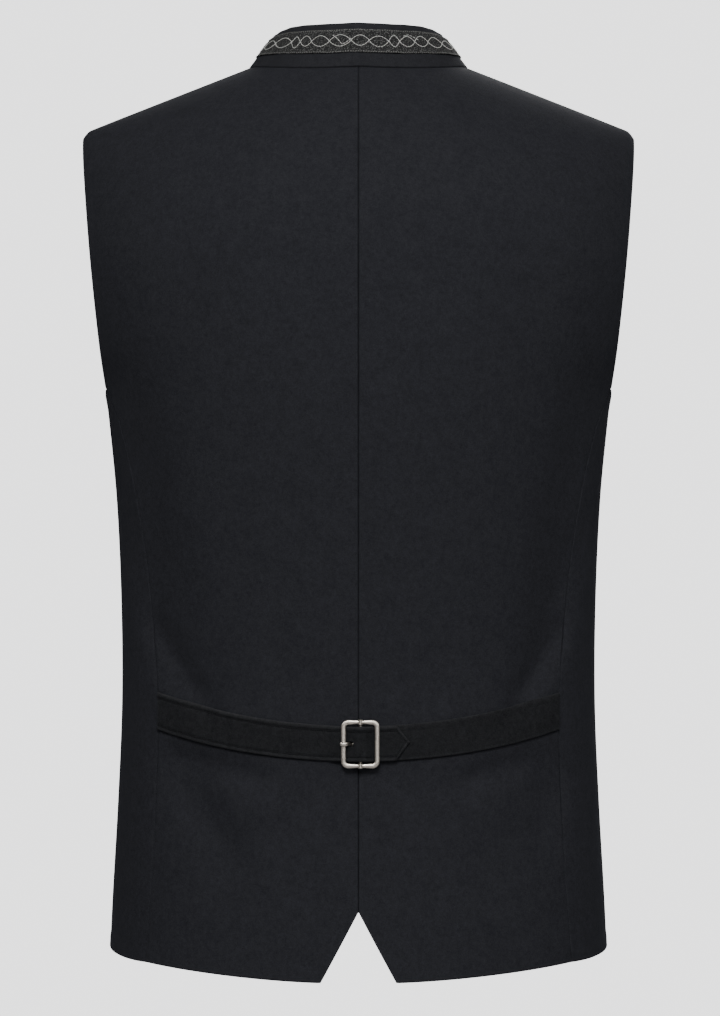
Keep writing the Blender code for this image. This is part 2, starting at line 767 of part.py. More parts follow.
def build_strap(name, stations, material, tip=None):
    """Strap through stations of (x, offset) pairs, under side and face side, with a pointed tip."""
    across = [-1.0, 0.0, 1.0]
    under_points = [belt_point(low[0], share, low[1]) for low, _ in stations for share in across]
    face_points = [belt_point(high[0], share, high[1]) for _, high in stations for share in across]
    cells = grid_cells(len(stations), len(across))
    if tip:
        last = len(face_points) - len(across)
        under_points.append(belt_point(tip[0][0], 0.0, tip[0][1]))
        face_points.append(belt_point(tip[1][0], 0.0, tip[1][1]))
        cells += [[last, last + 1, last + 3], [last + 1, last + 2, last + 3]]
    return build_wall(name, face_points, under_points, cells, material)


def flat_stations(start, end, count, offset):
    """Stations of a strap that lies evenly on the back."""
    places = [blend(start, end, i / count) for i in range(count + 1)]
    return [((x, offset), (x, offset + BELT_WALL)) for x in places]


def build_left_strap(material):
    """Left strap: under the buckle's left rail, over the bar, under the right rail, to its tip."""
    stations = flat_stations(BELT_END_X, BUCKLE_X + LIFT_START, LEFT_STATIONS, SEAM_GAP)
    for lift in STRAP_LIFTS:
        x = BUCKLE_X + lift.off_x
        stations.append(((x, lift.offset), (x, lift.offset + BELT_WALL)))
    last = STRAP_LIFTS[-1].offset
    stations.append(((TAIL_CORNER_X, last), (TAIL_CORNER_X, last + BELT_WALL)))
    tip = ((TAIL_TIP_X, last), (TAIL_TIP_X, last + BELT_WALL))
    strap = build_strap("belt_left", stations, material, tip)
    slit = box_cutter("prong_slit", SLIT_NEAR, SLIT_FAR)
    cut(strap, slit)
    return strap


def build_right_strap(material):
    """Right strap: flat on the back, then folded round the bar, with a slot for the prong."""
    stations = flat_stations(-BELT_END_X, BUCKLE_X - LOOP_START, RIGHT_STATIONS, SEAM_GAP)
    inner = LOOP_RADIUS - BELT_WALL
    for step in range(LOOP_STEPS + 1):
        turn = math.pi * step / LOOP_STEPS
        outside = (BUCKLE_X + LOOP_RADIUS * math.sin(turn), BAR_OFFSET - LOOP_RADIUS * math.cos(turn))
        inside = (BUCKLE_X + inner * math.sin(turn), BAR_OFFSET - inner * math.cos(turn))
        stations.append((outside, inside))
    end = BUCKLE_X - LOOP_RETURN
    stations.append(((end, BAR_OFFSET + LOOP_RADIUS), (end, BAR_OFFSET + inner)))
    strap = build_strap("belt_right", stations, material)
    slot = box_cutter("prong_slot", SLOT_NEAR, SLOT_FAR)
    cut(strap, slot)
    return strap


def buckle_frame_axes():
    """Middle of the buckle on the cloth, with its across, up and outward directions."""
    height = belt_middle(BUCKLE_X)
    middle, outward = back_place(BUCKLE_X, height)
    across = Vector((1.0, 0.0, 0.0))
    outward = (outward - across * outward.dot(across)).normalized()
    return middle, across, across.cross(outward) * -1, outward


def buckle_point(off_x, off_height, offset):
    """Point in the buckle's own plane."""
    middle, across, up, outward = buckle_frame_axes()
    return middle + across * off_x + up * off_height + outward * offset


def box_cutter(name, low_x, high_x):
    """Box in the buckle's axes that cuts the prong's way through a strap and is no piece itself."""
    half_height = PRONG_HALF_WIDTH + SLIT_ROOM
    points = []
    for off_x in (low_x, high_x):
        for off_height in (-half_height, half_height):
            for offset in (0.0, CUTTER_REACH):
                points.append(buckle_point(off_x, off_height, offset))
    faces = [(0, 1, 3, 2), (4, 6, 7, 5), (0, 4, 5, 1), (2, 3, 7, 6), (0, 2, 6, 4), (1, 5, 7, 3)]
    mesh = bpy.data.meshes.new(name)
    mesh.from_pydata(points, [], faces)
    cutter = bpy.data.objects.new(name, mesh)
    bpy.context.scene.collection.objects.link(cutter)
    face_outwards(mesh)
    cutter.hide_render = True
    cutter.display_type = "WIRE"
    return cutter


def cut(obj, cutter, operation="DIFFERENCE"):
    """Boolean modifier with a cutter."""
    modifier = obj.modifiers.new(cutter.name, "BOOLEAN")
    modifier.operation = operation
    modifier.solver = "EXACT"
    modifier.object = cutter


def build_tube(name, sections, material, closed=False):
    """Solid through sections of points; closed joins the last one to the first."""
    sides = len(sections[0])
    points = [point for section in sections for point in section]
    count = len(sections)
    faces = []
    for first in range(count if closed else count - 1):
        second = (first + 1) % count
        for side in range(sides):
            after = (side + 1) % sides
            corners = [(first, side), (first, after), (second, after), (second, side)]
            faces.append([section * sides + place for section, place in corners])
    if not closed:
        faces.append(tuple(reversed(range(sides))))
        faces.append(tuple(range((count - 1) * sides, count * sides)))
    mesh = bpy.data.meshes.new(name)
    mesh.from_pydata(points, [], faces)
    obj = bpy.data.objects.new(name, mesh)
    bpy.context.scene.collection.objects.link(obj)
    finish_mesh(obj, material)
    return obj


def oval(half_width, half_depth, fullness_power=SECTION_FULLNESS, sides=SECTION_SIDES):
    """Points of a rounded oval section, as pairs of lengths across and out."""
    points = []
    for i in range(sides):
        turn = 2 * math.pi * (i + 0.5) / sides
        across = half_width * signed_power(math.cos(turn), fullness_power)
        out = half_depth * signed_power(math.sin(turn), fullness_power)
        points.append((across, out))
    return points


def frame_path():
    """Middle line of the buckle's frame, with its outward direction at each point."""
    half_width = (BUCKLE_WIDTH - BUCKLE_RAIL) / 2
    half_height = (BUCKLE_HEIGHT - BUCKLE_END_RAIL) / 2
    radius = BUCKLE_CORNER - BUCKLE_END_RAIL / 2
    path = []
    for corner in range(4):
        centre_x = (half_width - radius) * (1 if corner in (0, 3) else -1)
        centre_z = (half_height - radius) * (1 if corner in (0, 1) else -1)
        for step in range(CORNER_STEPS + 1):
            turn = math.pi / 2 * (corner + step / CORNER_STEPS)
            out = (math.cos(turn), math.sin(turn))
            path.append((centre_x + radius * out[0], centre_z + radius * out[1], out))
        if corner in (0, 2):
            side_x = (half_width - radius) * (1 if corner == 0 else -1)
            for share in (0.5, 0.0, -0.5):
                path.append((side_x * share, centre_z + radius * out[1], out))
    return path


def build_buckle_frame(material):
    """Rounded frame with thinner end rails, a centre bar and the bar's two lugs, in one piece."""
    sections = []
    for x, z, out in frame_path():
        share = ease(abs(x) / (BUCKLE_WIDTH / 2 - BUCKLE_CORNER))
        half = blend(BUCKLE_END_RAIL, BUCKLE_RAIL, share) / 2
        section = oval(half, BUCKLE_DEPTH / 2)
        sections.append(
            [buckle_point(x + out[0] * a, z + out[1] * a, BUCKLE_OFFSET + b) for a, b in section]
        )
    frame = build_tube("buckle_frame", sections, material, closed=True)
    bar_half = BUCKLE_HEIGHT / 2 - BUCKLE_END_RAIL / 2
    ring = oval(BAR_RADIUS, BAR_RADIUS, 1.0, BAR_SIDES)
    bar_sections = [
        [buckle_point(a, height, BAR_OFFSET + b) for a, b in ring] for height in (-bar_half, bar_half)
    ]
    bar = build_tube("buckle_bar", bar_sections, material)
    helpers = [bar]
    for sign in (-1, 1):
        low = BUCKLE_HEIGHT / 2 - BUCKLE_END_RAIL - LUG_OVERHANG
        high = BUCKLE_HEIGHT / 2 + LUG_OVERHANG
        top = BUCKLE_OFFSET + BUCKLE_DEPTH / 2
        bottom = BAR_OFFSET - BAR_RADIUS
        lug = oval(LUG_HALF_WIDTH, (top - bottom) / 2 + LUG_OVERHANG)
        middle = (top + bottom) / 2
        lug_sections = [
            [buckle_point(a, sign * height, middle + b) for a, b in lug] for height in (low, high)
        ]
        helpers.append(build_tube(f"buckle_lug_{sign + 2}", lug_sections, material))
    for helper in helpers:
        helper.hide_render = True
        helper.display_type = "WIRE"
        cut(frame, helper, "UNION")
    return frame


def build_prong(material):
    """Prong: from the bar under the left strap, up through its slit and over the left rail."""
    sections = []
    for i, place in enumerate(PRONG_PATH):
        before = PRONG_PATH[max(i - 1, 0)]
        after = PRONG_PATH[min(i + 1, len(PRONG_PATH) - 1)]
        along = Vector((after.off_x - before.off_x, after.offset - before.offset)).normalized()
        narrowing = 1.0 if i < len(PRONG_PATH) - 1 else PRONG_TIP_SHARE
        section = oval(PRONG_HALF_WIDTH * narrowing, PRONG_HALF_DEPTH * narrowing)
        sections.append(
            [buckle_point(place.off_x - along.y * b, a, place.offset + along.x * b) for a, b in section]
        )
    return build_tube("buckle_prong", sections, material)


def build_button(name, height, material):
    """Plain domed button at centre front, on the left front's cloth."""
    point, normal = form_with_normal(0.0, height, 1)
    across = Vector((1.0, 0.0, 0.0))
    up = normal.cross(across).normalized()
    sections = []
    for ring in BUTTON_PROFILE:
        turns = [2 * math.pi * i / BUTTON_SIDES for i in range(BUTTON_SIDES)]
        centre = point + normal * (BUTTON_GAP + ring.height)
        sections.append(
            [centre + (across * math.cos(turn) + up * math.sin(turn)) * ring.radius for turn in turns]
        )
    return build_tube(name, sections, material)


def main():
    """Build the waistcoat."""
    for obj in list(bpy.data.objects):
        bpy.data.objects.remove(obj, do_unlink=True)
    cloth = make_material("black_cloth", CLOTH_COLOUR, 0.9, 0.0)
    ribbon = make_material("grey_ribbon", RIBBON_COLOUR, 0.9, 0.0)
    nickel = make_material("satin_nickel", NICKEL_COLOUR, 0.35, 1.0)
    build_back("back_left", 1, cloth)
    build_back("back_right", -1, cloth)
    build_front("front_left", 1, cloth)
    build_front("front_right", -1, cloth, sunk=underlap_depth)
    ribbon_shares = [RIBBON_LOW, (RIBBON_LOW + RIBBON_HIGH) / 2, RIBBON_HIGH]
    collar_shares = [0.0] + ribbon_shares + [1.0]
    build_band("collar", COLLAR_FRONT_GAP, collar_shares, 0.0, COLLAR_WALL, cloth)
    ribbon_offset = RIBBON_GAP + RIBBON_WALL
    build_band("collar_ribbon", RIBBON_FRONT_GAP, ribbon_shares, ribbon_offset, RIBBON_WALL, ribbon)
    build_left_strap(cloth)
    build_right_strap(cloth)
    build_buckle_frame(nickel)
    build_prong(nickel)
    for i in range(BUTTON_COUNT):
        height = blend(BUTTON_TOP, BUTTON_BOTTOM, i / (BUTTON_COUNT - 1))
        build_button(f"front_button_{i + 1}", height, nickel)


main()
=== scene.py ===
"""Looks of the black stand-collar waistcoat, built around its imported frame.

Each sub-assembly is a class with its sizes as fields. The cloth pieces are thin shells on the same
body form as the frame's solids: level rings closed above by the shoulder ridges. Metres, +Z up, the
front faces -Y and the photograph's camera stands behind, on +Y.
"""

import logging
import math
from dataclasses import dataclass, field
from enum import Enum
from typing import Callable, NamedTuple, Sequence

import bpy
import numpy as np
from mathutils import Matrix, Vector


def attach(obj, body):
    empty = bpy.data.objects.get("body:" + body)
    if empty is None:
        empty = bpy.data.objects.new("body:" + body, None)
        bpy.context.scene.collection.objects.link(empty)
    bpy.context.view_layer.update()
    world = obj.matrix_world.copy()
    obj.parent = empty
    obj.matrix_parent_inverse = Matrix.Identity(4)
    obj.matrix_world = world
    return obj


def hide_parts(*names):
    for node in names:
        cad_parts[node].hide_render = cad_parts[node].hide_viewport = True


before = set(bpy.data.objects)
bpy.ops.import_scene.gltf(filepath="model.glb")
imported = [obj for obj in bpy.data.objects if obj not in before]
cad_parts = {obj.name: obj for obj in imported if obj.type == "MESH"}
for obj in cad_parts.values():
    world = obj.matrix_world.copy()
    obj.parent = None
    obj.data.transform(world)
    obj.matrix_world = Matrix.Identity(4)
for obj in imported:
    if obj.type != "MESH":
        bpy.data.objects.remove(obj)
logging.basicConfig(level=logging.INFO, format="%(message)s")
log = logging.getLogger("waistcoat")

Pair = tuple[np.ndarray, np.ndarray]
Colour = tuple[float, float, float]
BODY = "root"


class Side(Enum):
    """Side of the garment, as the sign of its X."""

    LEFT = 1
    RIGHT = -1


class Ring(NamedTuple):
    """Level section of the body form."""

    height: float
    half_breadth: float
    back_depth: float
    front_depth: float


class Stop(NamedTuple):
    """Point of a panel's edge, by its distance from the mid-plane and its height."""

    height: float
    x: float


class Bend(NamedTuple):
    """Point of the front armhole, by the angle in degrees from centre front and its height."""

    angle: float
    height: float


class Crease(NamedTuple):
    """Soft trough (depth > 0) or ridge (depth < 0) along a line on the back or the front."""

    top_x: float
    top_height: float
    bottom_x: float
    bottom_height: float
    depth: float
    half_width: float


RINGS = [
    Ring(0.030, 0.2000, 0.1100, 0.0860),
    Ring(-0.048, 0.2000, 0.1190, 0.1000),
    Ring(-0.094, 0.1990, 0.1255, 0.1100),
    Ring(-0.129, 0.1975, 0.1290, 0.1175),
    Ring(-0.164, 0.1930, 0.1300, 0.1235),
    Ring(-0.199, 0.1860, 0.1295, 0.1275),
    Ring(-0.227, 0.1775, 0.1280, 0.1290),
    Ring(-0.251, 0.1742, 0.1260, 0.1295),
    Ring(-0.304, 0.1692, 0.1200, 0.1280),
    Ring(-0.374, 0.1660, 0.1125, 0.1250),
    Ring(-0.444, 0.1655, 0.1070, 0.1225),
    Ring(-0.514, 0.1683, 0.1090, 0.1215),
    Ring(-0.584, 0.1722, 0.1140, 0.1210),
    Ring(-0.660, 0.1755, 0.1180, 0.1215),
]
BACK_CREASES = [
    Crease(0.168, -0.205, 0.115, -0.425, 0.0042, 0.022),
    Crease(0.128, -0.478, 0.078, -0.580, 0.0036, 0.020),
    Crease(-0.163, -0.198, -0.117, -0.425, 0.0038, 0.023),
    Crease(-0.130, -0.478, -0.090, -0.566, 0.0040, 0.019),
    Crease(0.150, -0.300, 0.128, -0.452, -0.0012, 0.012),
    Crease(-0.148, -0.310, -0.131, -0.450, -0.0011, 0.013),
    Crease(0.060, -0.395, 0.030, -0.452, 0.0010, 0.011),
    Crease(-0.072, -0.385, -0.040, -0.450, 0.0009, 0.012),
    Crease(0.040, -0.486, 0.052, -0.575, 0.0009, 0.012),
    Crease(-0.052, -0.488, -0.060, -0.560, 0.0010, 0.011),
    Crease(0.135, -0.100, 0.105, -0.205, 0.0010, 0.020),
    Crease(-0.128, -0.095, -0.108, -0.215, 0.0011, 0.019),
    Crease(0.166, -0.300, 0.124, -0.437, 0.0058, 0.014),
    Crease(-0.166, -0.300, -0.112, -0.436, 0.0060, 0.0135),
    Crease(0.124, -0.480, 0.082, -0.550, 0.0044, 0.015),
    Crease(-0.134, -0.482, -0.126, -0.548, 0.0044, 0.0125),
    Crease(0.156, -0.230, 0.128, -0.400, 0.0042, 0.0150),
    Crease(-0.159, -0.225, -0.122, -0.405, 0.0046, 0.0155),
    Crease(0.142, -0.385, 0.098, -0.450, 0.0046, 0.0085),
    Crease(-0.146, -0.380, -0.104, -0.448, 0.0048, 0.0085),
    Crease(-0.022, -0.486, -0.048, -0.522, 0.0016, 0.008),
    Crease(0.025, -0.490, 0.060, -0.540, 0.0015, 0.010),
    Crease(0.056, -0.495, 0.128, -0.477, 0.0046, 0.0095),
    Crease(-0.062, -0.496, -0.126, -0.478, 0.0044, 0.0095),
    Crease(0.086, -0.500, 0.112, -0.556, -0.0018, 0.014),
    Crease(-0.098, -0.500, -0.108, -0.560, -0.0020, 0.015),
]
FRONT_CREASES = [
    Crease(0.150, -0.225, 0.118, -0.400, 0.0038, 0.018),
    Crease(-0.154, -0.220, -0.112, -0.410, 0.0041, 0.019),
    Crease(0.120, -0.430, 0.098, -0.560, 0.0030, 0.016),
    Crease(-0.126, -0.420, -0.102, -0.575, 0.0028, 0.017),
    Crease(0.060, -0.470, 0.075, -0.560, 0.0018, 0.013),
    Crease(-0.058, -0.455, -0.068, -0.550, 0.0020, 0.014),
    Crease(0.072, -0.110, 0.100, -0.200, 0.0012, 0.018),
    Crease(-0.078, -0.105, -0.104, -0.210, 0.0011, 0.018),
]


def curve_value(keys: Sequence[float], values: Sequence[float], at: np.ndarray) -> np.ndarray:
    """Read a smooth curve through points whose keys run downwards.

    Args:
        keys: The points' keys, from the highest to the lowest.
        values: The points' values.
        at: Where to read the curve.

    Returns:
        The curve's values, carried on straight past both ends.
    """
    key = np.asarray(keys, float)
    value = np.asarray(values, float)
    last = len(key) - 1
    low = np.maximum(np.arange(last + 1) - 1, 0)
    high = np.minimum(np.arange(last + 1) + 1, last)
    slope = (value[high] - value[low]) / (key[high] - key[low])
    at = np.asarray(at, float)
    index = np.clip(np.searchsorted(-key, -at, side="right") - 1, 0, last - 1)
    span = key[index + 1] - key[index]
    t = (at - key[index]) / span
    start = (2 * t**3 - 3 * t**2 + 1) * value[index] + (t**3 - 2 * t**2 + t) * span * slope[index]
    end = (3 * t**2 - 2 * t**3) * value[index + 1] + (t**3 - t**2) * span * slope[index + 1]
    inside = start + end
    above = value[0] + slope[0] * (at - key[0])
    below = value[last] + slope[last] * (at - key[last])
    return np.where(at >= key[0], above, np.where(at <= key[last], below, inside))


def ease(t: np.ndarray) -> np.ndarray:
    """Smooth step from 0 to 1, read at t."""
    t = np.clip(t, 0.0, 1.0)
    return t * t * (3 - 2 * t)


def signed_power(value: np.ndarray, power: float) -> np.ndarray:
    """Power of a value that keeps the value's sign."""
    return np.sign(value) * np.abs(value) ** power


def blend(start: float, end: float, share: float) -> float:
    """Value at a share of the straight way from start to end."""
    return start + (end - start) * share


def unit(vectors: np.ndarray) -> np.ndarray:
    """Vectors scaled to length 1 along the last axis."""
    return vectors / np.maximum(np.linalg.norm(vectors, axis=-1, keepdims=True), 1e-12)


@dataclass
class BodyForm:
    """Form that the cloth lies on, with its neck seam.

    The midline is the plane of the shoulder ridges and of the widest side points.
    """

    midline_y: float = -0.005
    power: float = 2.35
    neck_half_breadth: float = 0.0768
    neck_back_depth: float = 0.067
    neck_front_depth: float = 0.073
    ridge_at_centre: float = 0.0170
    ridge_at_neck: float = -0.0018
    ridge_neck_curve: float = 1.62
    shoulder_slope: float = 0.388
    tip_x: float = 0.1930
    tip_round_start: float = 0.186
    tip_round_drop: float = 0.0045
    back_round: float = 0.130
    front_round: float = 0.300
    rings: Sequence[Ring] = field(default_factory=lambda: RINGS)

    @property
    def tip_height(self) -> float:
        """Height of the shoulder tip."""
        fall = self.shoulder_slope * (self.tip_x - self.neck_half_breadth)
        return self.ridge_at_neck - fall - self.tip_round_drop

    def ring_value(self, name: str, height: np.ndarray) -> np.ndarray:
        """One size of the rings, named by its field, at the given heights."""
        keys = [ring.height for ring in self.rings]
        return curve_value(keys, [getattr(ring, name) for ring in self.rings], height)

    def ridge(self, x: np.ndarray) -> np.ndarray:
        """Height of the shoulder ridge, carried on under the neck as a flat arch.

        Args:
            x: Distances from the mid-plane.

        Returns:
            Heights of the ridge.
        """
        x = np.abs(x)
        fall = np.minimum(x / self.neck_half_breadth, 1.0) ** self.ridge_neck_curve
        inner = self.ridge_at_centre - (self.ridge_at_centre - self.ridge_at_neck) * fall
        past = np.maximum(x - self.tip_round_start, 0.0) / (self.tip_x - self.tip_round_start)
        outer = self.ridge_at_neck - self.shoulder_slope * (x - self.neck_half_breadth)
        outer = outer - self.tip_round_drop * past**2
        return np.where(x < self.neck_half_breadth, inner, outer)

    @staticmethod
    def crease_depth(creases: Sequence[Crease], x: np.ndarray, height: np.ndarray) -> np.ndarray:
        """Sum of the creases' depths.

        Args:
            creases: Troughs and ridges.
            x: Signed distances from the mid-plane.
            height: Heights.

        Returns:
            Depth towards the inside at each place.
        """
        depth = np.zeros_like(x)
        for crease in creases:
            along_x = crease.bottom_x - crease.top_x
            along_z = crease.bottom_height - crease.top_height
            length = math.hypot(along_x, along_z)
            off_x = x - crease.top_x
            off_z = height - crease.top_height
            t = (off_x * along_x + off_z * along_z) / length**2
            across = np.abs(off_x * along_z - off_z * along_x) / length
            taper = ease((t + 0.25) / 0.6) * ease((1.25 - t) / 0.6)
            depth = depth + crease.depth * np.exp(-((across / crease.half_width) ** 2)) * taper
        return depth

    def from_drop(self, angle: np.ndarray, drop: np.ndarray, side: int) -> np.ndarray:
        """Points at angles from centre front and drops below the ridge.

        Args:
            angle: Angles, 0 at centre front and pi at centre back.
            drop: Drops below the shoulder ridge.
            side: 1 for the left half, -1 for the right one.

        Returns:
            Points, x, y and z on the last axis.
        """
        across = signed_power(np.sin(angle), 2 / self.power)
        height = -drop
        for _ in range(5):
            x = self.ring_value("half_breadth", height) * across
            height = self.ridge(x) - drop
        reach = signed_power(np.cos(angle), 2 / self.power)
        at_front = reach > 0
        depth = np.where(
            at_front,
            self.ring_value("front_depth", height),
            self.ring_value("back_depth", height),
        )
        t = np.clip(drop / np.where(at_front, self.front_round, self.back_round), 0.0, 1.0)
        full = np.sqrt(1 - (1 - t) ** 2)
        back_crease = self.crease_depth(BACK_CREASES, side * x, height)
        front_crease = self.crease_depth(FRONT_CREASES, side * x, height)
        edge_fade = np.clip(np.abs(reach) * 4, 0.0, 1.0)
        crease = np.where(at_front, -front_crease, back_crease) * full * edge_fade
        y = self.midline_y - depth * reach * full - crease
        return np.stack([side * x, y, height], axis=-1)

    def place(self, angle: np.ndarray, height: np.ndarray, side: int) -> Pair:
        """Points and outward directions at angles and heights.

        Args:
            angle: Angles from centre front.
            height: Heights.
            side: 1 for the left half, -1 for the right one.

        Returns:
            Points and unit normals.
        """
        angle, height = np.broadcast_arrays(np.asarray(angle, float), np.asarray(height, float))
        x = self.ring_value("half_breadth", height) * signed_power(np.sin(angle), 2 / self.power)
        drop = np.maximum(self.ridge(x) - height, 0.0)
        point = self.from_drop(angle, drop, side)
        around = self.from_drop(angle + 0.004, drop, side) - self.from_drop(angle - 0.004, drop, side)
        down = self.from_drop(angle, drop + 0.0006, side)
        down = down - self.from_drop(angle, np.maximum(drop - 0.0006, 0.0), side)
        normal = unit(np.cross(around, down))
        outward = point - np.array([0.0, self.midline_y, 0.0])
        outward[..., 2] = 0.02
        flip = np.where(np.sum(normal * outward, axis=-1, keepdims=True) < 0, -1.0, 1.0)
        return point, normal * flip

    def angle_at(self, x: np.ndarray, height: np.ndarray) -> np.ndarray:
        """Angles from the centre line of places at signed distances x, in radians with x's sign."""
        share = np.minimum(np.abs(x) / self.ring_value("half_breadth", height), 1.0)
        return np.sign(x) * np.arcsin(share ** (self.power / 2))

    def one_angle(self, x: float, height: float) -> float:
        """Angle from the centre line of a single place, in radians."""
        return float(self.angle_at(np.array(x), np.array(height)))

    def back_place(self, x: np.ndarray, height: np.ndarray) -> Pair:
        """Points on the back by x and height.

        Args:
            x: Signed distances from the mid-plane.
            height: Heights.

        Returns:
            Points and unit normals.
        """
        x, height = np.broadcast_arrays(np.asarray(x, float), np.asarray(height, float))
        angle = math.pi - np.abs(self.angle_at(x, height))
        left, left_normal = self.place(angle, height, 1)
        right, right_normal = self.place(angle, height, -1)
        is_left = (x >= 0)[..., None]
        return np.where(is_left, left, right), np.where(is_left, left_normal, right_normal)

    def neck_point(self, turn: np.ndarray) -> np.ndarray:
        """Points of the neck seam.

        Args:
            turn: Angles round the neck, 0 at centre back and pi at centre front.

        Returns:
            Points of the seam.
        """
        x = self.neck_half_breadth * np.sin(turn)
        at_back = np.cos(turn) >= 0
        reach = np.abs(np.cos(turn)) * np.where(at_back, self.neck_back_depth, self.neck_front_depth)
        full_drop = np.where(at_back, self.back_round, self.front_round)
        height = np.full_like(x, self.ridge_at_neck)
        for _ in range(12):
            ring_share = np.minimum(np.abs(x) / self.ring_value("half_breadth", height), 1.0)
            depth = np.where(
                at_back,
                self.ring_value("back_depth", height),
                self.ring_value("front_depth", height),
            )
            depth = depth * (1 - ring_share**self.power) ** (1 / self.power)
            share = np.minimum(reach / depth, 1.0)
            height = self.ridge(x) - full_drop * (1 - np.sqrt(1 - share**2))
        y = self.midline_y + np.where(at_back, reach, -reach)
        return np.stack([x, y, height], axis=-1)

    def top_height(self, angle: np.ndarray, at_front: bool) -> np.ndarray:
        """Heights of a panel's top edge: the neck seam, then the shoulder ridge.

        Args:
            angle: Angles from the centre line.
            at_front: True for the front panels.

        Returns:
            Heights of the edge.
        """
        height = np.full_like(angle, self.ridge_at_neck)
        for _ in range(5):
            x = self.ring_value("half_breadth", height) * signed_power(np.sin(angle), 2 / self.power)
            turn = np.arcsin(np.clip(x / self.neck_half_breadth, -1.0, 1.0))
            neck = self.neck_point(math.pi - turn if at_front else turn)[..., 2]
            height = np.where(np.abs(x) >= self.neck_half_breadth, self.ridge(x), neck)
        return height


BACK_ARMHOLE = [
    Stop(-0.0514, 0.1930),
    Stop(-0.0720, 0.1912),
    Stop(-0.0940, 0.1890),
    Stop(-0.1290, 0.1855),
    Stop(-0.1640, 0.1820),
    Stop(-0.1990, 0.1785),
    Stop(-0.2268, 0.1754),
]
SIDE_SEAM = [
    Stop(-0.2268, 0.1754),
    Stop(-0.2500, 0.1650),
    Stop(-0.2900, 0.1548),
    Stop(-0.3500, 0.1450),
    Stop(-0.4400, 0.1372),
    Stop(-0.5400, 0.1398),
    Stop(-0.6190, 0.1452),
]
FRONT_ARMHOLE = [Bend(66.0, -0.0750), Bend(57.5, -0.1120), Bend(53.5, -0.1450), Bend(55.0, -0.1800)]
ARMHOLE_CORNER = Bend(62.0, -0.2080)
ARMHOLE_FOOT = [Bend(70.0, -0.2225), Bend(79.0, -0.2310), Bend(89.0, -0.2330)]
SEAM_GAP = 0.0003
EDGE_STEPS = np.array([0.0, 0.0004, 0.0009, 0.0018, 0.0035])


def stop_x(stops: Sequence[Stop], height: np.ndarray) -> np.ndarray:
    """Distances of an edge from the mid-plane at the given heights."""
    return curve_value([stop.height for stop in stops], [stop.x for stop in stops], height)


def seam_angle(form: BodyForm, height: np.ndarray) -> np.ndarray:
    """Angles of the side seam from centre back at the given heights, in radians."""
    return form.angle_at(stop_x(SIDE_SEAM, height), height)


def aligned(fractions: np.ndarray, target: float) -> np.ndarray:
    """Move the fraction nearest to a target onto it and stretch the others with it.

    Args:
        fractions: Rising fractions from 0 to 1.
        target: Fraction that one of them has to hit.

    Returns:
        The moved fractions.
    """
    pivot = fractions[1:-1][np.argmin(np.abs(fractions[1:-1] - target))]
    low = fractions * target / pivot
    high = 1 - (1 - fractions) * (1 - target) / (1 - pivot)
    return np.where(fractions <= pivot, low, high)


def bordered(count: int, start: Sequence[float], end: Sequence[float]) -> np.ndarray:
    """Rising fractions from 0 to 1, even but for the given fine steps at both ends."""
    middle = np.linspace(start[-1], 1 - end[-1], count + 1)
    return np.concatenate([start[:-1], middle, 1 - np.array(end[-2::-1])])


def link_mesh(name: str, mesh: bpy.types.Mesh) -> bpy.types.Object:
    """Make an object of a mesh and link it to the scene.

    Args:
        name: Name of the object.
        mesh: The mesh.

    Returns:
        The object.
    """
    obj = bpy.data.objects.new(name, mesh)
    bpy.context.scene.collection.objects.link(obj)
    return obj


def stand_in(piece: bpy.types.Object, node: str) -> bpy.types.Object:
    """Let a piece stand in for a node of the frame and ride on its body.

    Args:
        piece: The piece.
        node: Name of the node.

    Returns:
        The piece.
    """
    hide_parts(node)
    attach(piece, BODY)
    return piece


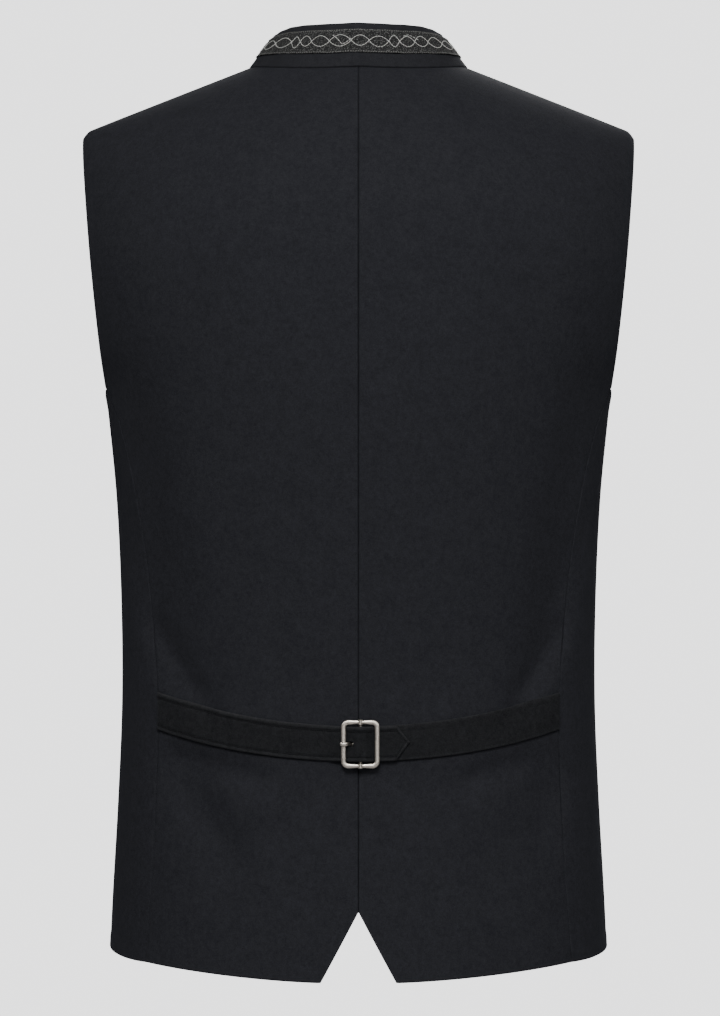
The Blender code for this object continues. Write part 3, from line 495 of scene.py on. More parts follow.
@dataclass
class ShellMesh:
    """Closed thin shell from two layers of grid points."""

    name: str
    outer: np.ndarray
    inner: np.ndarray
    missing: np.ndarray | None = None
    edge: np.ndarray | None = None

    def cells(self) -> np.ndarray:
        """Corner numbers of the grid's cells, without the missing ones.

        Returns:
            One row of four numbers for each cell.
        """
        rows, columns = self.outer.shape[:2]
        index = np.arange(rows * columns).reshape(rows, columns)
        quads = np.stack([index[:-1, :-1], index[:-1, 1:], index[1:, 1:], index[1:, :-1]], axis=-1)
        keep = np.ones((rows - 1, columns - 1), bool) if self.missing is None else ~self.missing
        return quads[keep]

    def build(self, material: bpy.types.Material, slot: str) -> bpy.types.Object:
        """Make the object, smooth, with its cloth coordinates as a UV map in metres.

        Args:
            material: Finish of the shell.
            slot: Material slot; not used.

        Returns:
            The shell's object.
        """
        outer = self.outer.reshape(-1, 3)
        inner = self.inner.reshape(-1, 3)
        count = len(outer)
        cells = self.cells()
        starts = cells.reshape(-1)
        ends = np.roll(cells, -1, axis=1).reshape(-1)
        border = ~np.isin(starts * count + ends, ends * count + starts)
        rim = np.stack(
            [ends[border], starts[border], count + starts[border], count + ends[border]], axis=-1
        )
        faces = np.concatenate([cells, count + cells[:, ::-1], rim])
        used, numbers = np.unique(faces.reshape(-1), return_inverse=True)
        points = np.concatenate([outer, inner])[used]
        faces = numbers.reshape(-1, 4)
        a, b, c, d = (points[faces[:, i]] for i in range(4))
        volume = np.sum(a * np.cross(b, c)) + np.sum(a * np.cross(c, d))
        if volume < 0:
            faces = faces[:, ::-1]
        mesh = bpy.data.meshes.new(self.name)
        mesh.from_pydata(points.tolist(), [], faces.tolist())
        self.add_uv(mesh, used % count, faces)
        self.add_wear(mesh, used)
        mesh.shade_smooth()
        obj = link_mesh(self.name, mesh)
        mesh.materials.append(material)
        obj["flat"] = self.flat_size()
        return obj

    def add_uv(self, mesh: bpy.types.Mesh, places: np.ndarray, faces: np.ndarray) -> None:
        """Write lengths along the rows and the columns into a UV map.

        Args:
            mesh: Mesh of the shell.
            places: Grid place of each of its points.
            faces: Corner numbers of its faces.
        """
        across = np.zeros(self.outer.shape[:2])
        along = np.zeros(self.outer.shape[:2])
        across[:, 1:] = np.cumsum(np.linalg.norm(np.diff(self.outer, axis=1), axis=-1), axis=1)
        along[1:] = np.cumsum(np.linalg.norm(np.diff(self.outer, axis=0), axis=-1), axis=0)
        layer = mesh.uv_layers.new(name="cloth")
        flat = np.stack([across.reshape(-1)[places], along.reshape(-1)[places]], axis=-1)
        layer.data.foreach_set("uv", flat[faces.reshape(-1)].astype(np.float32).reshape(-1))

    def add_wear(self, mesh: bpy.types.Mesh, numbers: np.ndarray) -> None:
        """Write how near the outer side is to a rubbed edge into an attribute.

        Args:
            mesh: Mesh of the shell.
            numbers: Numbers of its points in both layers.
        """
        if self.edge is None:
            return
        near = np.exp(-self.edge.reshape(-1) / 0.0011)
        wear = np.concatenate([near, 0.5 * near])[numbers]
        layer = mesh.attributes.new("wear", "FLOAT", "POINT")
        layer.data.foreach_set("value", wear.astype(np.float32))

    def flat_size(self) -> tuple[float, float, float]:
        """Greatest length across and along the outer layer, and its area.

        Returns:
            Two lengths and the area, in metres.
        """
        cells = self.cells()
        points = self.outer.reshape(-1, 3)
        a, b, c, d = (points[cells[:, i]] for i in range(4))
        area = np.linalg.norm(np.cross(b - a, c - a), axis=-1) + np.linalg.norm(
            np.cross(c - a, d - a), axis=-1
        )
        keep = np.zeros(len(points), bool)
        keep[cells.reshape(-1)] = True
        keep = keep.reshape(self.outer.shape[:2])
        across = np.linalg.norm(np.diff(self.outer, axis=1), axis=-1) * (keep[:, 1:] & keep[:, :-1])
        along = np.linalg.norm(np.diff(self.outer, axis=0), axis=-1) * (keep[1:] & keep[:-1])
        return (
            float(across.sum(axis=1).max()),
            float(along.sum(axis=0).max()),
            float(area.sum() / 2),
        )


@dataclass
class Cloth:
    """Thickness and edge shapes of the cloth."""

    wall: float = 0.0021
    seam_round: float = 0.0009
    free_round: float = 0.0010
    turn_in: float = 0.0075
    turn_in_rise: float = 0.00035

    def sink(self, distance: np.ndarray, radius: float) -> np.ndarray:
        """How far an edge rounded to a radius falls away, by the distance from it."""
        inside = np.clip(radius - distance, 0.0, radius)
        return radius - np.sqrt(radius**2 - inside**2)

    def layers(
        self, point: np.ndarray, normal: np.ndarray, seam: np.ndarray, free: np.ndarray
    ) -> Pair:
        """Outer and inner layer of a shell.

        Args:
            point: Points on the form.
            normal: Outward directions there.
            seam: Distances to the nearest seam.
            free: Distances to the nearest free edge.

        Returns:
            Outer points and inner points.
        """
        fall = np.maximum(self.sink(seam, self.seam_round), self.sink(free, self.free_round))
        rise = self.turn_in_rise * (1 - ease((free - self.turn_in) / 0.002))
        outer = point + normal * (rise - fall)[..., None]
        inner = point - normal * (self.wall - np.minimum(fall, self.wall / 2 - 0.00005))[..., None]
        return outer, inner


def run_lengths(points: np.ndarray, axis: int) -> Pair:
    """Lengths along the grid from both of its borders.

    Args:
        points: Grid of points.
        axis: 0 down the columns, 1 along the rows.

    Returns:
        Lengths from the first border and from the last one.
    """
    steps = np.linalg.norm(np.diff(points, axis=axis), axis=-1)
    lengths = np.zeros(points.shape[:2])
    if axis == 0:
        lengths[1:] = np.cumsum(steps, axis=0)
        return lengths, lengths[-1:] - lengths
    lengths[:, 1:] = np.cumsum(steps, axis=1)
    return lengths, lengths[:, -1:] - lengths


def close_seam(inner: np.ndarray, beside: np.ndarray) -> None:
    """Carry the inner layer's edge on to the middle of the seam, as its allowance is."""
    inner += unit(inner - beside) * (SEAM_GAP / 2 + 0.00004)


@dataclass
class BackPanel:
    """Half of the back: centre seam, neck, shoulder, armhole, side seam and notched hem."""

    form: BodyForm
    cloth: Cloth
    side: Side
    notch_top: float = -0.5805
    notch_half_width: float = 0.0254
    hem_lowest: float = -0.6280
    rows: int = 150
    neck_columns: int = 26
    shoulder_columns: int = 60
    top_run: float = 0.19
    hem_run: float = 0.17

    def hem(self, x: np.ndarray) -> np.ndarray:
        """Height of the hem.

        Args:
            x: Distances from the mid-plane.

        Returns:
            Heights.
        """
        seam = SIDE_SEAM[-1]
        notch = self.notch_top + (self.hem_lowest - self.notch_top) * x / self.notch_half_width
        out = np.clip((x - self.notch_half_width) / (seam.x - self.notch_half_width), 0.0, 1.0)
        plain = self.hem_lowest + (seam.height - self.hem_lowest) * out**1.4
        return np.where(x < self.notch_half_width, notch, plain)

    def edge_angle(self, height: np.ndarray) -> np.ndarray:
        """Angle of the outer edge from centre back: armhole above, side seam below.

        Args:
            height: Heights.

        Returns:
            Angles in radians.
        """
        tip = BACK_ARMHOLE[0]
        armhole = self.form.angle_at(stop_x(BACK_ARMHOLE, np.minimum(height, tip.height)), height)
        tip_angle = self.form.one_angle(tip.x, tip.height)
        armhole = np.where(height > tip.height, tip_angle, armhole)
        gap = SEAM_GAP / 2 / self.form.ring_value("half_breadth", height)
        return np.where(height > SIDE_SEAM[0].height, armhole, seam_angle(self.form, height) - gap)

    def build(self, material: bpy.types.Material) -> bpy.types.Object:
        """Build the panel's shell.

        Args:
            material: Cloth of the panel.

        Returns:
            The panel's object.
        """
        form = self.form
        tip_angle = float(self.edge_angle(np.array(0.0)))
        fine_x = SEAM_GAP / 2 + np.array([0.0, 0.0003, 0.0007, 0.0012, 0.0025])
        first_turn = math.asin(0.0045 / form.neck_half_breadth)
        turns = np.linspace(first_turn, math.pi / 2, self.neck_columns)
        neck_x = np.concatenate([fine_x, form.neck_half_breadth * np.sin(turns)])
        neck_top = form.angle_at(neck_x, np.full_like(neck_x, form.ridge_at_neck)) / tip_angle
        end_steps = EDGE_STEPS / (self.top_run * tip_angle)
        shoulder = np.linspace(neck_top[-1], 1 - end_steps[-1], self.shoulder_columns)[1:]
        top_fraction = np.concatenate([neck_top, shoulder, 1 - end_steps[-2::-1]])
        hem_height = SIDE_SEAM[-1].height
        hem_angle = float(seam_angle(form, np.array(hem_height)))
        fine_hem = form.angle_at(fine_x, np.full_like(fine_x, self.notch_top)) / hem_angle
        fine_count = len(top_fraction) - len(fine_x) - len(end_steps) + 1
        end_hem = EDGE_STEPS / (self.hem_run * hem_angle)
        hem_fraction = bordered(fine_count, fine_hem, end_hem)
        notch_angle = form.one_angle(self.notch_half_width, self.hem_lowest)
        hem_fraction = aligned(hem_fraction, notch_angle / hem_angle)
        top_steps = [0.0, 0.0006, 0.0015, 0.0032, 0.0065, 0.012]
        hem_steps = [0.0, 0.0006, 0.0015, 0.003, 0.006]
        down = bordered(self.rows, top_steps, hem_steps)
        share = down[:, None]
        top = form.top_height(top_fraction * tip_angle, at_front=False)
        hem_x = form.ring_value("half_breadth", np.array(hem_height)) * np.sin(
            hem_fraction * hem_angle
        ) ** (2 / form.power)
        plain_hem = self.hem(np.maximum(hem_x, self.notch_half_width))
        height = top + (plain_hem - top) * share + (self.hem(hem_x) - plain_hem) * share**6
        fraction = top_fraction + (hem_fraction - top_fraction) * ease(3 * share)
        angle = fraction * self.edge_angle(height)
        point, normal = form.place(math.pi - angle, height, self.side.value)
        on_ridge = top_fraction >= neck_top[-1] - 1e-9
        normal[0, on_ridge, 1] = 0.0
        normal[0] = unit(normal[0])
        point[0, on_ridge, 1] += SEAM_GAP / 2
        from_centre, from_side = run_lengths(point, 1)
        from_top, from_hem = run_lengths(point, 0)
        above = height > SIDE_SEAM[0].height
        seam = np.minimum(np.minimum(from_centre, from_top), np.where(above, 1.0, from_side))
        free = np.minimum(from_hem, np.where(above, from_side, 1.0))
        outer, inner = self.cloth.layers(point, normal, seam, free)
        inner[:, 0, 0] = 0.0
        close_seam(inner[0], inner[3])
        below = ~above[:, -1]
        first_below = int(np.argmax(below))
        close_seam(inner[first_below:, -1], inner[first_below:, -4])
        name = f"back_{self.side.name.lower()}"
        shell = ShellMesh(f"{name}_cloth", outer, inner, edge=free)
        return stand_in(shell.build(material, "cloth"), name)


def border_distance(points: np.ndarray, border: np.ndarray) -> np.ndarray:
    """Distance of points to a line of border points.

    Args:
        points: Grid of points.
        border: Points of the border in order.

    Returns:
        Distances, one for each point of the grid.
    """
    starts = border[:-1]
    spans = border[1:] - starts
    squares = np.maximum(np.sum(spans**2, axis=-1), 1e-14)
    nearest = []
    for row in points.reshape(-1, points.shape[-2], 3):
        off = row[:, None, :] - starts[None]
        t = np.clip(np.sum(off * spans, axis=-1) / squares, 0.0, 1.0)
        gap = off - t[..., None] * spans
        nearest.append(np.sqrt(np.min(np.sum(gap**2, axis=-1), axis=1)))
    return np.array(nearest)


@dataclass
class FrontPanel:
    """Half of the front: from centre front round the side to the seam set towards the back."""

    form: BodyForm
    cloth: Cloth
    side: Side
    overlap: float = 0.012
    point_x: float = 0.070
    point_height: float = -0.6400
    cutaway_top: float = -0.5600
    side_hem: float = -0.6150
    underlap_full_x: float = 0.016
    underlap_end_x: float = 0.036
    upper_rows: int = 60
    lower_rows: int = 96
    chest_columns: int = 84
    foot_columns: int = 30
    chest_run: float = 0.26
    armhole_run: float = 0.22
    foot_run: float = 0.13
    upper_run: float = 0.20
    lower_run: float = 0.40

    def hem(self, angle: np.ndarray) -> np.ndarray:
        """Height of the hem.

        Args:
            angle: Angles from centre front.

        Returns:
            Heights.
        """
        form = self.form
        point_angle = form.one_angle(self.point_x, self.point_height)
        side_angle = math.radians(85)
        last = SIDE_SEAM[-1].height
        seam = math.pi - float(seam_angle(form, np.array(last)))
        cutaway = blend(self.cutaway_top, self.point_height, np.clip(angle, 0.0, None) / point_angle)
        rise = ease((angle - point_angle) / (side_angle - point_angle))
        front = blend(self.point_height, self.side_hem, rise)
        back = blend(self.side_hem, last, ease((angle - side_angle) / (seam - side_angle)))
        return np.where(angle < point_angle, cutaway, np.where(angle < side_angle, front, back))

    def seam_edge(self, height: np.ndarray) -> np.ndarray:
        """Angles of the side seam from centre front at the given heights, in radians."""
        gap = SEAM_GAP / 2 / self.form.ring_value("half_breadth", height)
        return math.pi - seam_angle(self.form, height) - gap

    def low_row(self, columns: np.ndarray, foot: np.ndarray) -> Pair:
        """Row at the underarm: level across the chest, then along the foot of the armhole.

        Args:
            columns: Fractions across the chest.
            foot: Fractions along the foot.

        Returns:
            Angles and heights.
        """
        top = SIDE_SEAM[0].height
        corner = math.radians(ARMHOLE_CORNER.angle)
        seam = float(self.seam_edge(np.array(top)))
        start = self.form.one_angle(-self.overlap, top)
        chest_angle = blend(start, corner, columns)
        chest_height = blend(top - 0.006, ARMHOLE_CORNER.height, columns**2)
        foot_angle = blend(corner, seam, foot[1:])
        bends = [ARMHOLE_CORNER] + ARMHOLE_FOOT + [Bend(math.degrees(seam), top)]
        keys = [-bend.angle for bend in bends]
        foot_height = curve_value(keys, [bend.height for bend in bends], -np.degrees(foot_angle))
        return np.concatenate([chest_angle, foot_angle]), np.concatenate([chest_height, foot_height])

    def grid(self) -> tuple[np.ndarray, np.ndarray, int, int]:
        """Angles and heights of the grid's points.

        Returns:
            Angles, heights, the number of upper rows and the armhole's column.
        """
        form = self.form
        tip = BACK_ARMHOLE[0]
        tip_angle = form.one_angle(tip.x, tip.height)
        fine = EDGE_STEPS
        chest = bordered(self.chest_columns, fine / self.chest_run, fine / self.armhole_run)
        foot = bordered(self.foot_columns, fine / self.foot_run, fine / self.foot_run)
        low_angle, low_height = self.low_row(chest, foot)
        corner = len(chest) - 1
        start_top = form.one_angle(-self.overlap, form.ridge_at_neck)
        top_chest = aligned(chest, self.neck_share(tip_angle, start_top))
        top = form.top_height(blend(start_top, tip_angle, top_chest), at_front=True)
        bends = [Bend(math.degrees(tip_angle), tip.height)] + FRONT_ARMHOLE + [ARMHOLE_CORNER]
        heights = [bend.height for bend in bends]
        share = bordered(self.upper_rows, fine / self.upper_run, [0.0, 0.008])[:-1, None]
        edge_height = blend(tip.height, ARMHOLE_CORNER.height, share)
        edge = np.radians(curve_value(heights, [bend.angle for bend in bends], edge_height))
        start = form.angle_at(np.full_like(edge_height, -self.overlap), edge_height)
        across = top_chest + (chest - top_chest) * ease(1.5 * share)
        upper_angle = start + (edge - start) * across
        upper_height = top + (low_height[: corner + 1] - top) * share
        spare = np.broadcast_to(low_angle[corner + 1 :], (len(share), len(foot) - 1))
        spare_height = np.broadcast_to(low_height[corner + 1 :], spare.shape)
        upper_angle = np.concatenate([upper_angle, spare], axis=1)
        upper_height = np.concatenate([upper_height, spare_height], axis=1)
        hem_height = SIDE_SEAM[-1].height
        hem_seam = math.pi - float(seam_angle(form, np.array(hem_height)))
        hem_start = form.one_angle(-self.overlap, self.point_height)
        point_angle = form.one_angle(self.point_x, self.point_height)
        shares = (low_angle - low_angle[0]) / (low_angle[-1] - low_angle[0])
        hem_shares = aligned(shares, (point_angle - hem_start) / (hem_seam - hem_start))
        down = bordered(self.lower_rows, fine / self.lower_run, fine / self.lower_run)[:, None]
        seam_height = blend(SIDE_SEAM[0].height, hem_height, down)
        start = form.angle_at(np.full_like(seam_height, -self.overlap), seam_height)
        across = shares + (hem_shares - shares) * ease(down)
        lower_angle = start + (self.seam_edge(seam_height) - start) * across
        hem = self.hem(blend(hem_start, hem_seam, hem_shares))
        plain_hem = np.minimum(hem, self.side_hem)
        lower_height = low_height + (plain_hem - low_height) * down + (hem - plain_hem) * down**3
        angle = np.concatenate([upper_angle, lower_angle])
        height = np.concatenate([upper_height, lower_height])
        return angle, height, len(share), corner

    def neck_share(self, tip_angle: float, start: float) -> float:
        """Share of the top edge at which the neck point lies.

        Args:
            tip_angle: Angle of the shoulder tip.
            start: Angle of the front edge.

        Returns:
            Share of the way between them.
        """
        form = self.form
        neck = form.one_angle(form.neck_half_breadth, form.ridge_at_neck)
        return (neck - start) / (tip_angle - start)

    def build(self, material: bpy.types.Material) -> bpy.types.Object:
        """Build the panel's shell.

        Args:
            material: Cloth of the panel.

        Returns:
            The panel's object.
        """
        form = self.form
        angle, height, upper, corner = self.grid()
        point, normal = form.place(angle, height, self.side.value)
        columns = np.arange(angle.shape[1])
        tip_angle = form.one_angle(form.tip_x, form.tip_height)
        share = self.neck_share(tip_angle, float(angle[0, 0]))
        neck_angle = blend(float(angle[0, 0]), tip_angle, share)
        on_ridge = (angle[0] >= neck_angle - 1e-9) & (columns <= corner)
        normal[0, on_ridge, 1] = 0.0
        normal[0] = unit(normal[0])
        point[0, on_ridge, 1] -= SEAM_GAP / 2
        if self.side is Side.RIGHT:
            off = self.underlap_end_x - self.side.value * point[..., 0]
            sunk = ease(off / (self.underlap_end_x - self.underlap_full_x))
            point = point - normal * (sunk * (self.cloth.wall + 2 * SEAM_GAP))[..., None]
        armhole = np.concatenate([point[: upper + 1, corner], point[upper, corner + 1 :]])
        seam = np.minimum(
            border_distance(point, point[0, : corner + 1]),
            border_distance(point, point[upper:, -1]),
        )
        free = np.minimum(border_distance(point, armhole), border_distance(point, point[-1]))
        free = np.minimum(free, border_distance(point, point[:, 0]))
        outer, inner = self.cloth.layers(point, normal, seam, free)
        close_seam(inner[0, : corner + 1], inner[3, : corner + 1])
        close_seam(inner[upper:, -1], inner[upper:, -4])
        missing = np.zeros((angle.shape[0] - 1, angle.shape[1] - 1), bool)
        missing[:upper, corner:] = True
        name = f"front_{self.side.name.lower()}"
        shell = ShellMesh(f"{name}_cloth", outer, inner, missing, free)
        return stand_in(shell.build(material, "cloth"), name)


@dataclass
class Collar:
    """Stand collar: its form, its shell and places on its outer side."""

    form: BodyForm
    back_height: float = 0.0311
    side_height: float = 0.0228
    front_height: float = 0.0275
    lean_back: float = 0.22
    lean_side: float = 0.78
    lean_front: float = 0.42
    front_gap: float = 0.004
    corner: float = 0.0068
    corner_drop: float = 0.6
    wall: float = 0.0024
    fold_round: float = 0.0012
    allowance: float = 0.0016
    columns: int = 300

    def point(self, turn: np.ndarray, share: np.ndarray) -> np.ndarray:
        """Points of the outer side.

        Args:
            turn: Angles round the neck from centre back.
            share: Shares of the collar's height.

        Returns:
            Points.
        """
        turn, share = np.broadcast_arrays(np.asarray(turn, float), np.asarray(share, float))
        base = self.form.neck_point(turn)
        base[..., 2] += SEAM_GAP
        at_back = np.cos(turn) >= 0
        middle = np.where(at_back, self.back_height, self.front_height)
        lean_middle = np.where(at_back, self.lean_back, self.lean_front)
        sideways = np.abs(np.sin(turn))
        height = middle + (self.side_height - middle) * sideways**5
        lean = lean_middle + (self.lean_side - lean_middle) * sideways**2
        rise = np.stack([-np.sin(turn) * lean, -np.cos(turn) * lean, np.ones_like(lean)], axis=-1)
        return base + rise * (height * share)[..., None]

    def place(self, turn: np.ndarray, share: np.ndarray) -> Pair:
        """Points of the outer side and their outward directions.

        Args:
            turn: Angles round the neck from centre back.
            share: Shares of the collar's height.

        Returns:
            Points and unit normals.
        """
        turn, share = np.broadcast_arrays(np.asarray(turn, float), np.asarray(share, float))
        along = self.point(turn + 0.01, share) - self.point(turn - 0.01, share)
        up = self.point(turn, share + 0.01) - self.point(turn, share - 0.01)
        normal = unit(np.cross(along, up))
        point = self.point(turn, share)
        outward = point * np.array([1.0, 1.0, 0.0])
        flip = np.where(np.sum(normal * outward, axis=-1, keepdims=True) < 0, -1.0, 1.0)
        return point, normal * flip

    def top_share(self, turn: np.ndarray) -> np.ndarray:
        """Share of its height that the collar keeps at its rounded front corners.

        Args:
            turn: Angles round the neck from centre back.

        Returns:
            Shares.
        """
        off_end = np.abs(self.form.neck_point(turn)[..., 0]) - self.front_gap
        short = np.clip(self.corner - off_end, 0.0, self.corner)
        drop = self.corner - np.sqrt(self.corner**2 - short**2)
        share = 1 - self.corner_drop * drop / self.front_height
        return np.where(np.cos(turn) > 0, 1.0, share)

    def turns(self, gap: float, count: int) -> np.ndarray:
        """Turns from one end at centre front round the back to the other, fine at the ends.

        Args:
            gap: Distance of the ends from the mid-plane.
            count: Number of even steps.

        Returns:
            Turns.
        """
        end = math.pi - math.asin(gap / self.form.neck_half_breadth)
        fine = EDGE_STEPS / 0.46
        return blend(-end, end, bordered(count, fine, fine))

    def build(self, material: bpy.types.Material) -> bpy.types.Object:
        """Build the collar's shell with its folded top edge.

        Args:
            material: Cloth of the collar.

        Returns:
            The collar's object.
        """
        turn = self.turns(self.front_gap, self.columns)[None, :]
        fine = np.array([0.0, 0.0003, 0.0007, 0.0012, 0.0022]) / self.back_height
        share = bordered(18, fine, fine)[:, None] * self.top_share(turn)
        point, normal = self.place(turn, share)
        wave = 0.00022 * np.sin(turn * 9.0 + 1.3) * np.sin(share * math.pi)
        wave = wave + 0.00015 * np.sin(turn * 23.0 + 0.4) * share
        point = point + normal * wave[..., None]
        seam = border_distance(point, point[0])
        free = np.minimum(border_distance(point, point[-1]), border_distance(point, point[:, 0]))
        free = np.minimum(free, border_distance(point, point[:, -1]))
        cloth = Cloth(wall=self.wall, free_round=self.fold_round - 0.0001, turn_in_rise=0.0)
        outer, inner = cloth.layers(point, normal, seam, free)
        inner[0, :, 2] -= self.allowance
        shell = ShellMesh("collar_cloth", outer, inner, edge=free)
        return stand_in(shell.build(material, "cloth"), "collar")


class Knot(NamedTuple):
    """Point of the embroidery inside one lens: share of the lens and share of its half height."""

    along: float
    up: float


# Lengths of the lenses along the ribbon in millimetres, from its left end at the back to its right
LENSES = [12.0, 17.5, 18.1, 8.2, 9.3, 13.5, 15.2, 12.3, 13.7, 8.3, 12.1, 12.4, 16.0, 17.0]
CENTRE_LENS = 7
DOUBLED_LENS = 6
DOUBLED_PATH = [Knot(0.20, 0.92), Knot(0.38, 0.35), Knot(0.58, -0.62), Knot(0.72, -0.50), Knot(0.95, 0.15)]
LOOSE_LENS = 10
LOOSE_PATH = [Knot(0.35, 1.05), Knot(0.62, 1.25), Knot(0.92, 0.92), Knot(1.20, 0.45)]


@dataclass
class Ribbon:
    """Melange ribbon on the collar, with its selvedges and the place of its embroidery."""

    collar: Collar
    low: float = 0.31
    high: float = 0.84
    front_gap: float = 0.011
    wall: float = 0.0007
    gap: float = 0.0002
    edge_round: float = 0.00030
    columns: int = 330
    ornament_half: float = 0.0039
    ornament_share: float = 0.578
    ornament_shift: float = -0.00115
    edge_margin: float = 0.022
    waver: float = 0.0035

    def place(self, turn: np.ndarray, share: np.ndarray, rise: float) -> Pair:
        """Points over the ribbon's middle and their outward directions, by turn, share and rise."""
        point, normal = self.collar.place(turn, share)
        return point + normal * (self.gap + self.wall + rise), normal

    def build(self, material: bpy.types.Material) -> bpy.types.Object:
        """Build the ribbon's shell.

        Args:
            material: Finish of the ribbon.

        Returns:
            The ribbon's object.
        """
        turn = self.collar.turns(self.front_gap, self.columns)[None, :]
        fine = np.array([0.0, 0.00015, 0.0004, 0.0008, 0.0015]) / 0.0165
        share = blend(self.low, self.high, bordered(10, fine, fine))[:, None]
        share = np.broadcast_to(share, (share.shape[0], turn.shape[1])) + 0.0035 * np.sin(turn * 17.0)
        point, normal = self.place(turn, share, 0.0)
        wave = 0.00010 * np.sin(turn * 41.0 + 0.7) + 0.00008 * np.sin(turn * 97.0 + share * 9.0)
        point = point + normal * wave[..., None]
        borders = [point[0], point[-1], point[:, 0], point[:, -1]]
        free = np.min([border_distance(point, border) for border in borders], axis=0)
        cloth = Cloth(wall=self.wall, free_round=self.edge_round, turn_in_rise=0.0)
        outer, inner = cloth.layers(point, normal, np.full_like(free, 1.0), free)
        shell = ShellMesh("collar_ribbon_weave", outer, inner, edge=free)
        return stand_in(shell.build(material, "ribbon"), "collar_ribbon")

    def turn_table(self) -> Pair:
        """Lengths along the ribbon's middle line against turns, zero at centre back.

        Returns:
            Lengths and turns.
        """
        turn = self.collar.turns(self.front_gap + 0.003, 400)
        point, _ = self.place(turn, np.array(self.ornament_share), 0.0)
        steps = np.linalg.norm(np.diff(point, axis=0), axis=-1)
        length = np.concatenate([[0.0], np.cumsum(steps)])
        return length - np.interp(0.0, turn, length), turn

    def lens_starts(self) -> list[float]:
        """Lengths at which the lenses of the embroidery start, all along the ribbon.

        Returns:
            Rising lengths from centre back.
        """
        length, _ = self.turn_table()
        half = LENSES[CENTRE_LENS] / 2000
        left = [half + self.ornament_shift]
        index = CENTRE_LENS - 1
        while left[-1] < length[-1] - 0.002:
            left.append(left[-1] + LENSES[index % len(LENSES)] / 1000)
            index -= 1
        right = [self.ornament_shift - half]
        index = CENTRE_LENS + 1
        while right[-1] > length[0] + 0.002:
            right.append(right[-1] - LENSES[index % len(LENSES)] / 1000)
            index += 1
        return right[::-1] + left

    def strand(self, along: np.ndarray, up: np.ndarray, rise: float) -> Pair:
        """Points of a thread laid on the ribbon.

        Args:
            along: Lengths from centre back.
            up: Heights over the ornament's middle line.
            rise: Height over the ribbon's face.

        Returns:
            Points and outward directions.
        """
        length, turn = self.turn_table()
        keep = (along > length[0]) & (along < length[-1])
        at = np.interp(along[keep], length, turn)
        share = self.ornament_share + up[keep] / (self.collar.back_height * 1.03)
        return self.place(at, share, rise)

    def edge_rows(self, rise: float) -> list[Pair]:
        """Stitches inside both selvedges, wavering a little as sewn by hand.

        Args:
            rise: Height over the ribbon's face.

        Returns:
            Points and outward directions of each row.
        """
        turn = self.collar.turns(self.front_gap + 0.001, 700)
        shares = (self.low + self.edge_margin, self.high - self.edge_margin)
        return [self.place(turn, share + self.waver * np.sin(turn * 17.0), rise) for share in shares]

    def strands(self, rise: float) -> list[Pair]:
        """Two interlaced threads that cross between the lenses, and two short loose ones.

        Args:
            rise: Height of the threads' middle over the ribbon's face.

        Returns:
            Points and outward directions of each thread.
        """
        starts = self.lens_starts()
        paths = []
        for sign in (1, -1):
            along, up = [], []
            for i, (start, end) in enumerate(zip(starts, starts[1:])):
                t = np.linspace(0.0, 1.0, 24, endpoint=False)
                reach = self.ornament_half * (1.0 - 0.10 * math.sin(i * 2.1 + sign))
                arch = np.sin(np.pi * t) ** (0.85 if end - start > 0.009 else 1.15)
                along.append(start + (end - start) * t)
                up.append(sign * (1 if i % 2 else -1) * reach * arch + 0.00025 * math.sin(i * 3.7))
            paths.append(self.strand(np.concatenate(along), np.concatenate(up), rise))
        centre = next(i for i, start in enumerate(starts) if start > 0) - 1
        loose = [(DOUBLED_LENS, DOUBLED_PATH), (LOOSE_LENS, LOOSE_PATH)]
        for number, knots in loose:
            start = starts[centre + CENTRE_LENS - number]
            end = starts[centre + CENTRE_LENS - number + 1]
            t = np.linspace(0.0, 1.0, 30)
            stations = np.linspace(0.0, 1.0, len(knots))
            along = end + (start - end) * np.interp(t, stations, [knot.along for knot in knots])
            up = self.ornament_half * np.interp(t, stations, [knot.up for knot in knots])
            paths.append(self.strand(along, up, rise + 0.0002))
        return paths


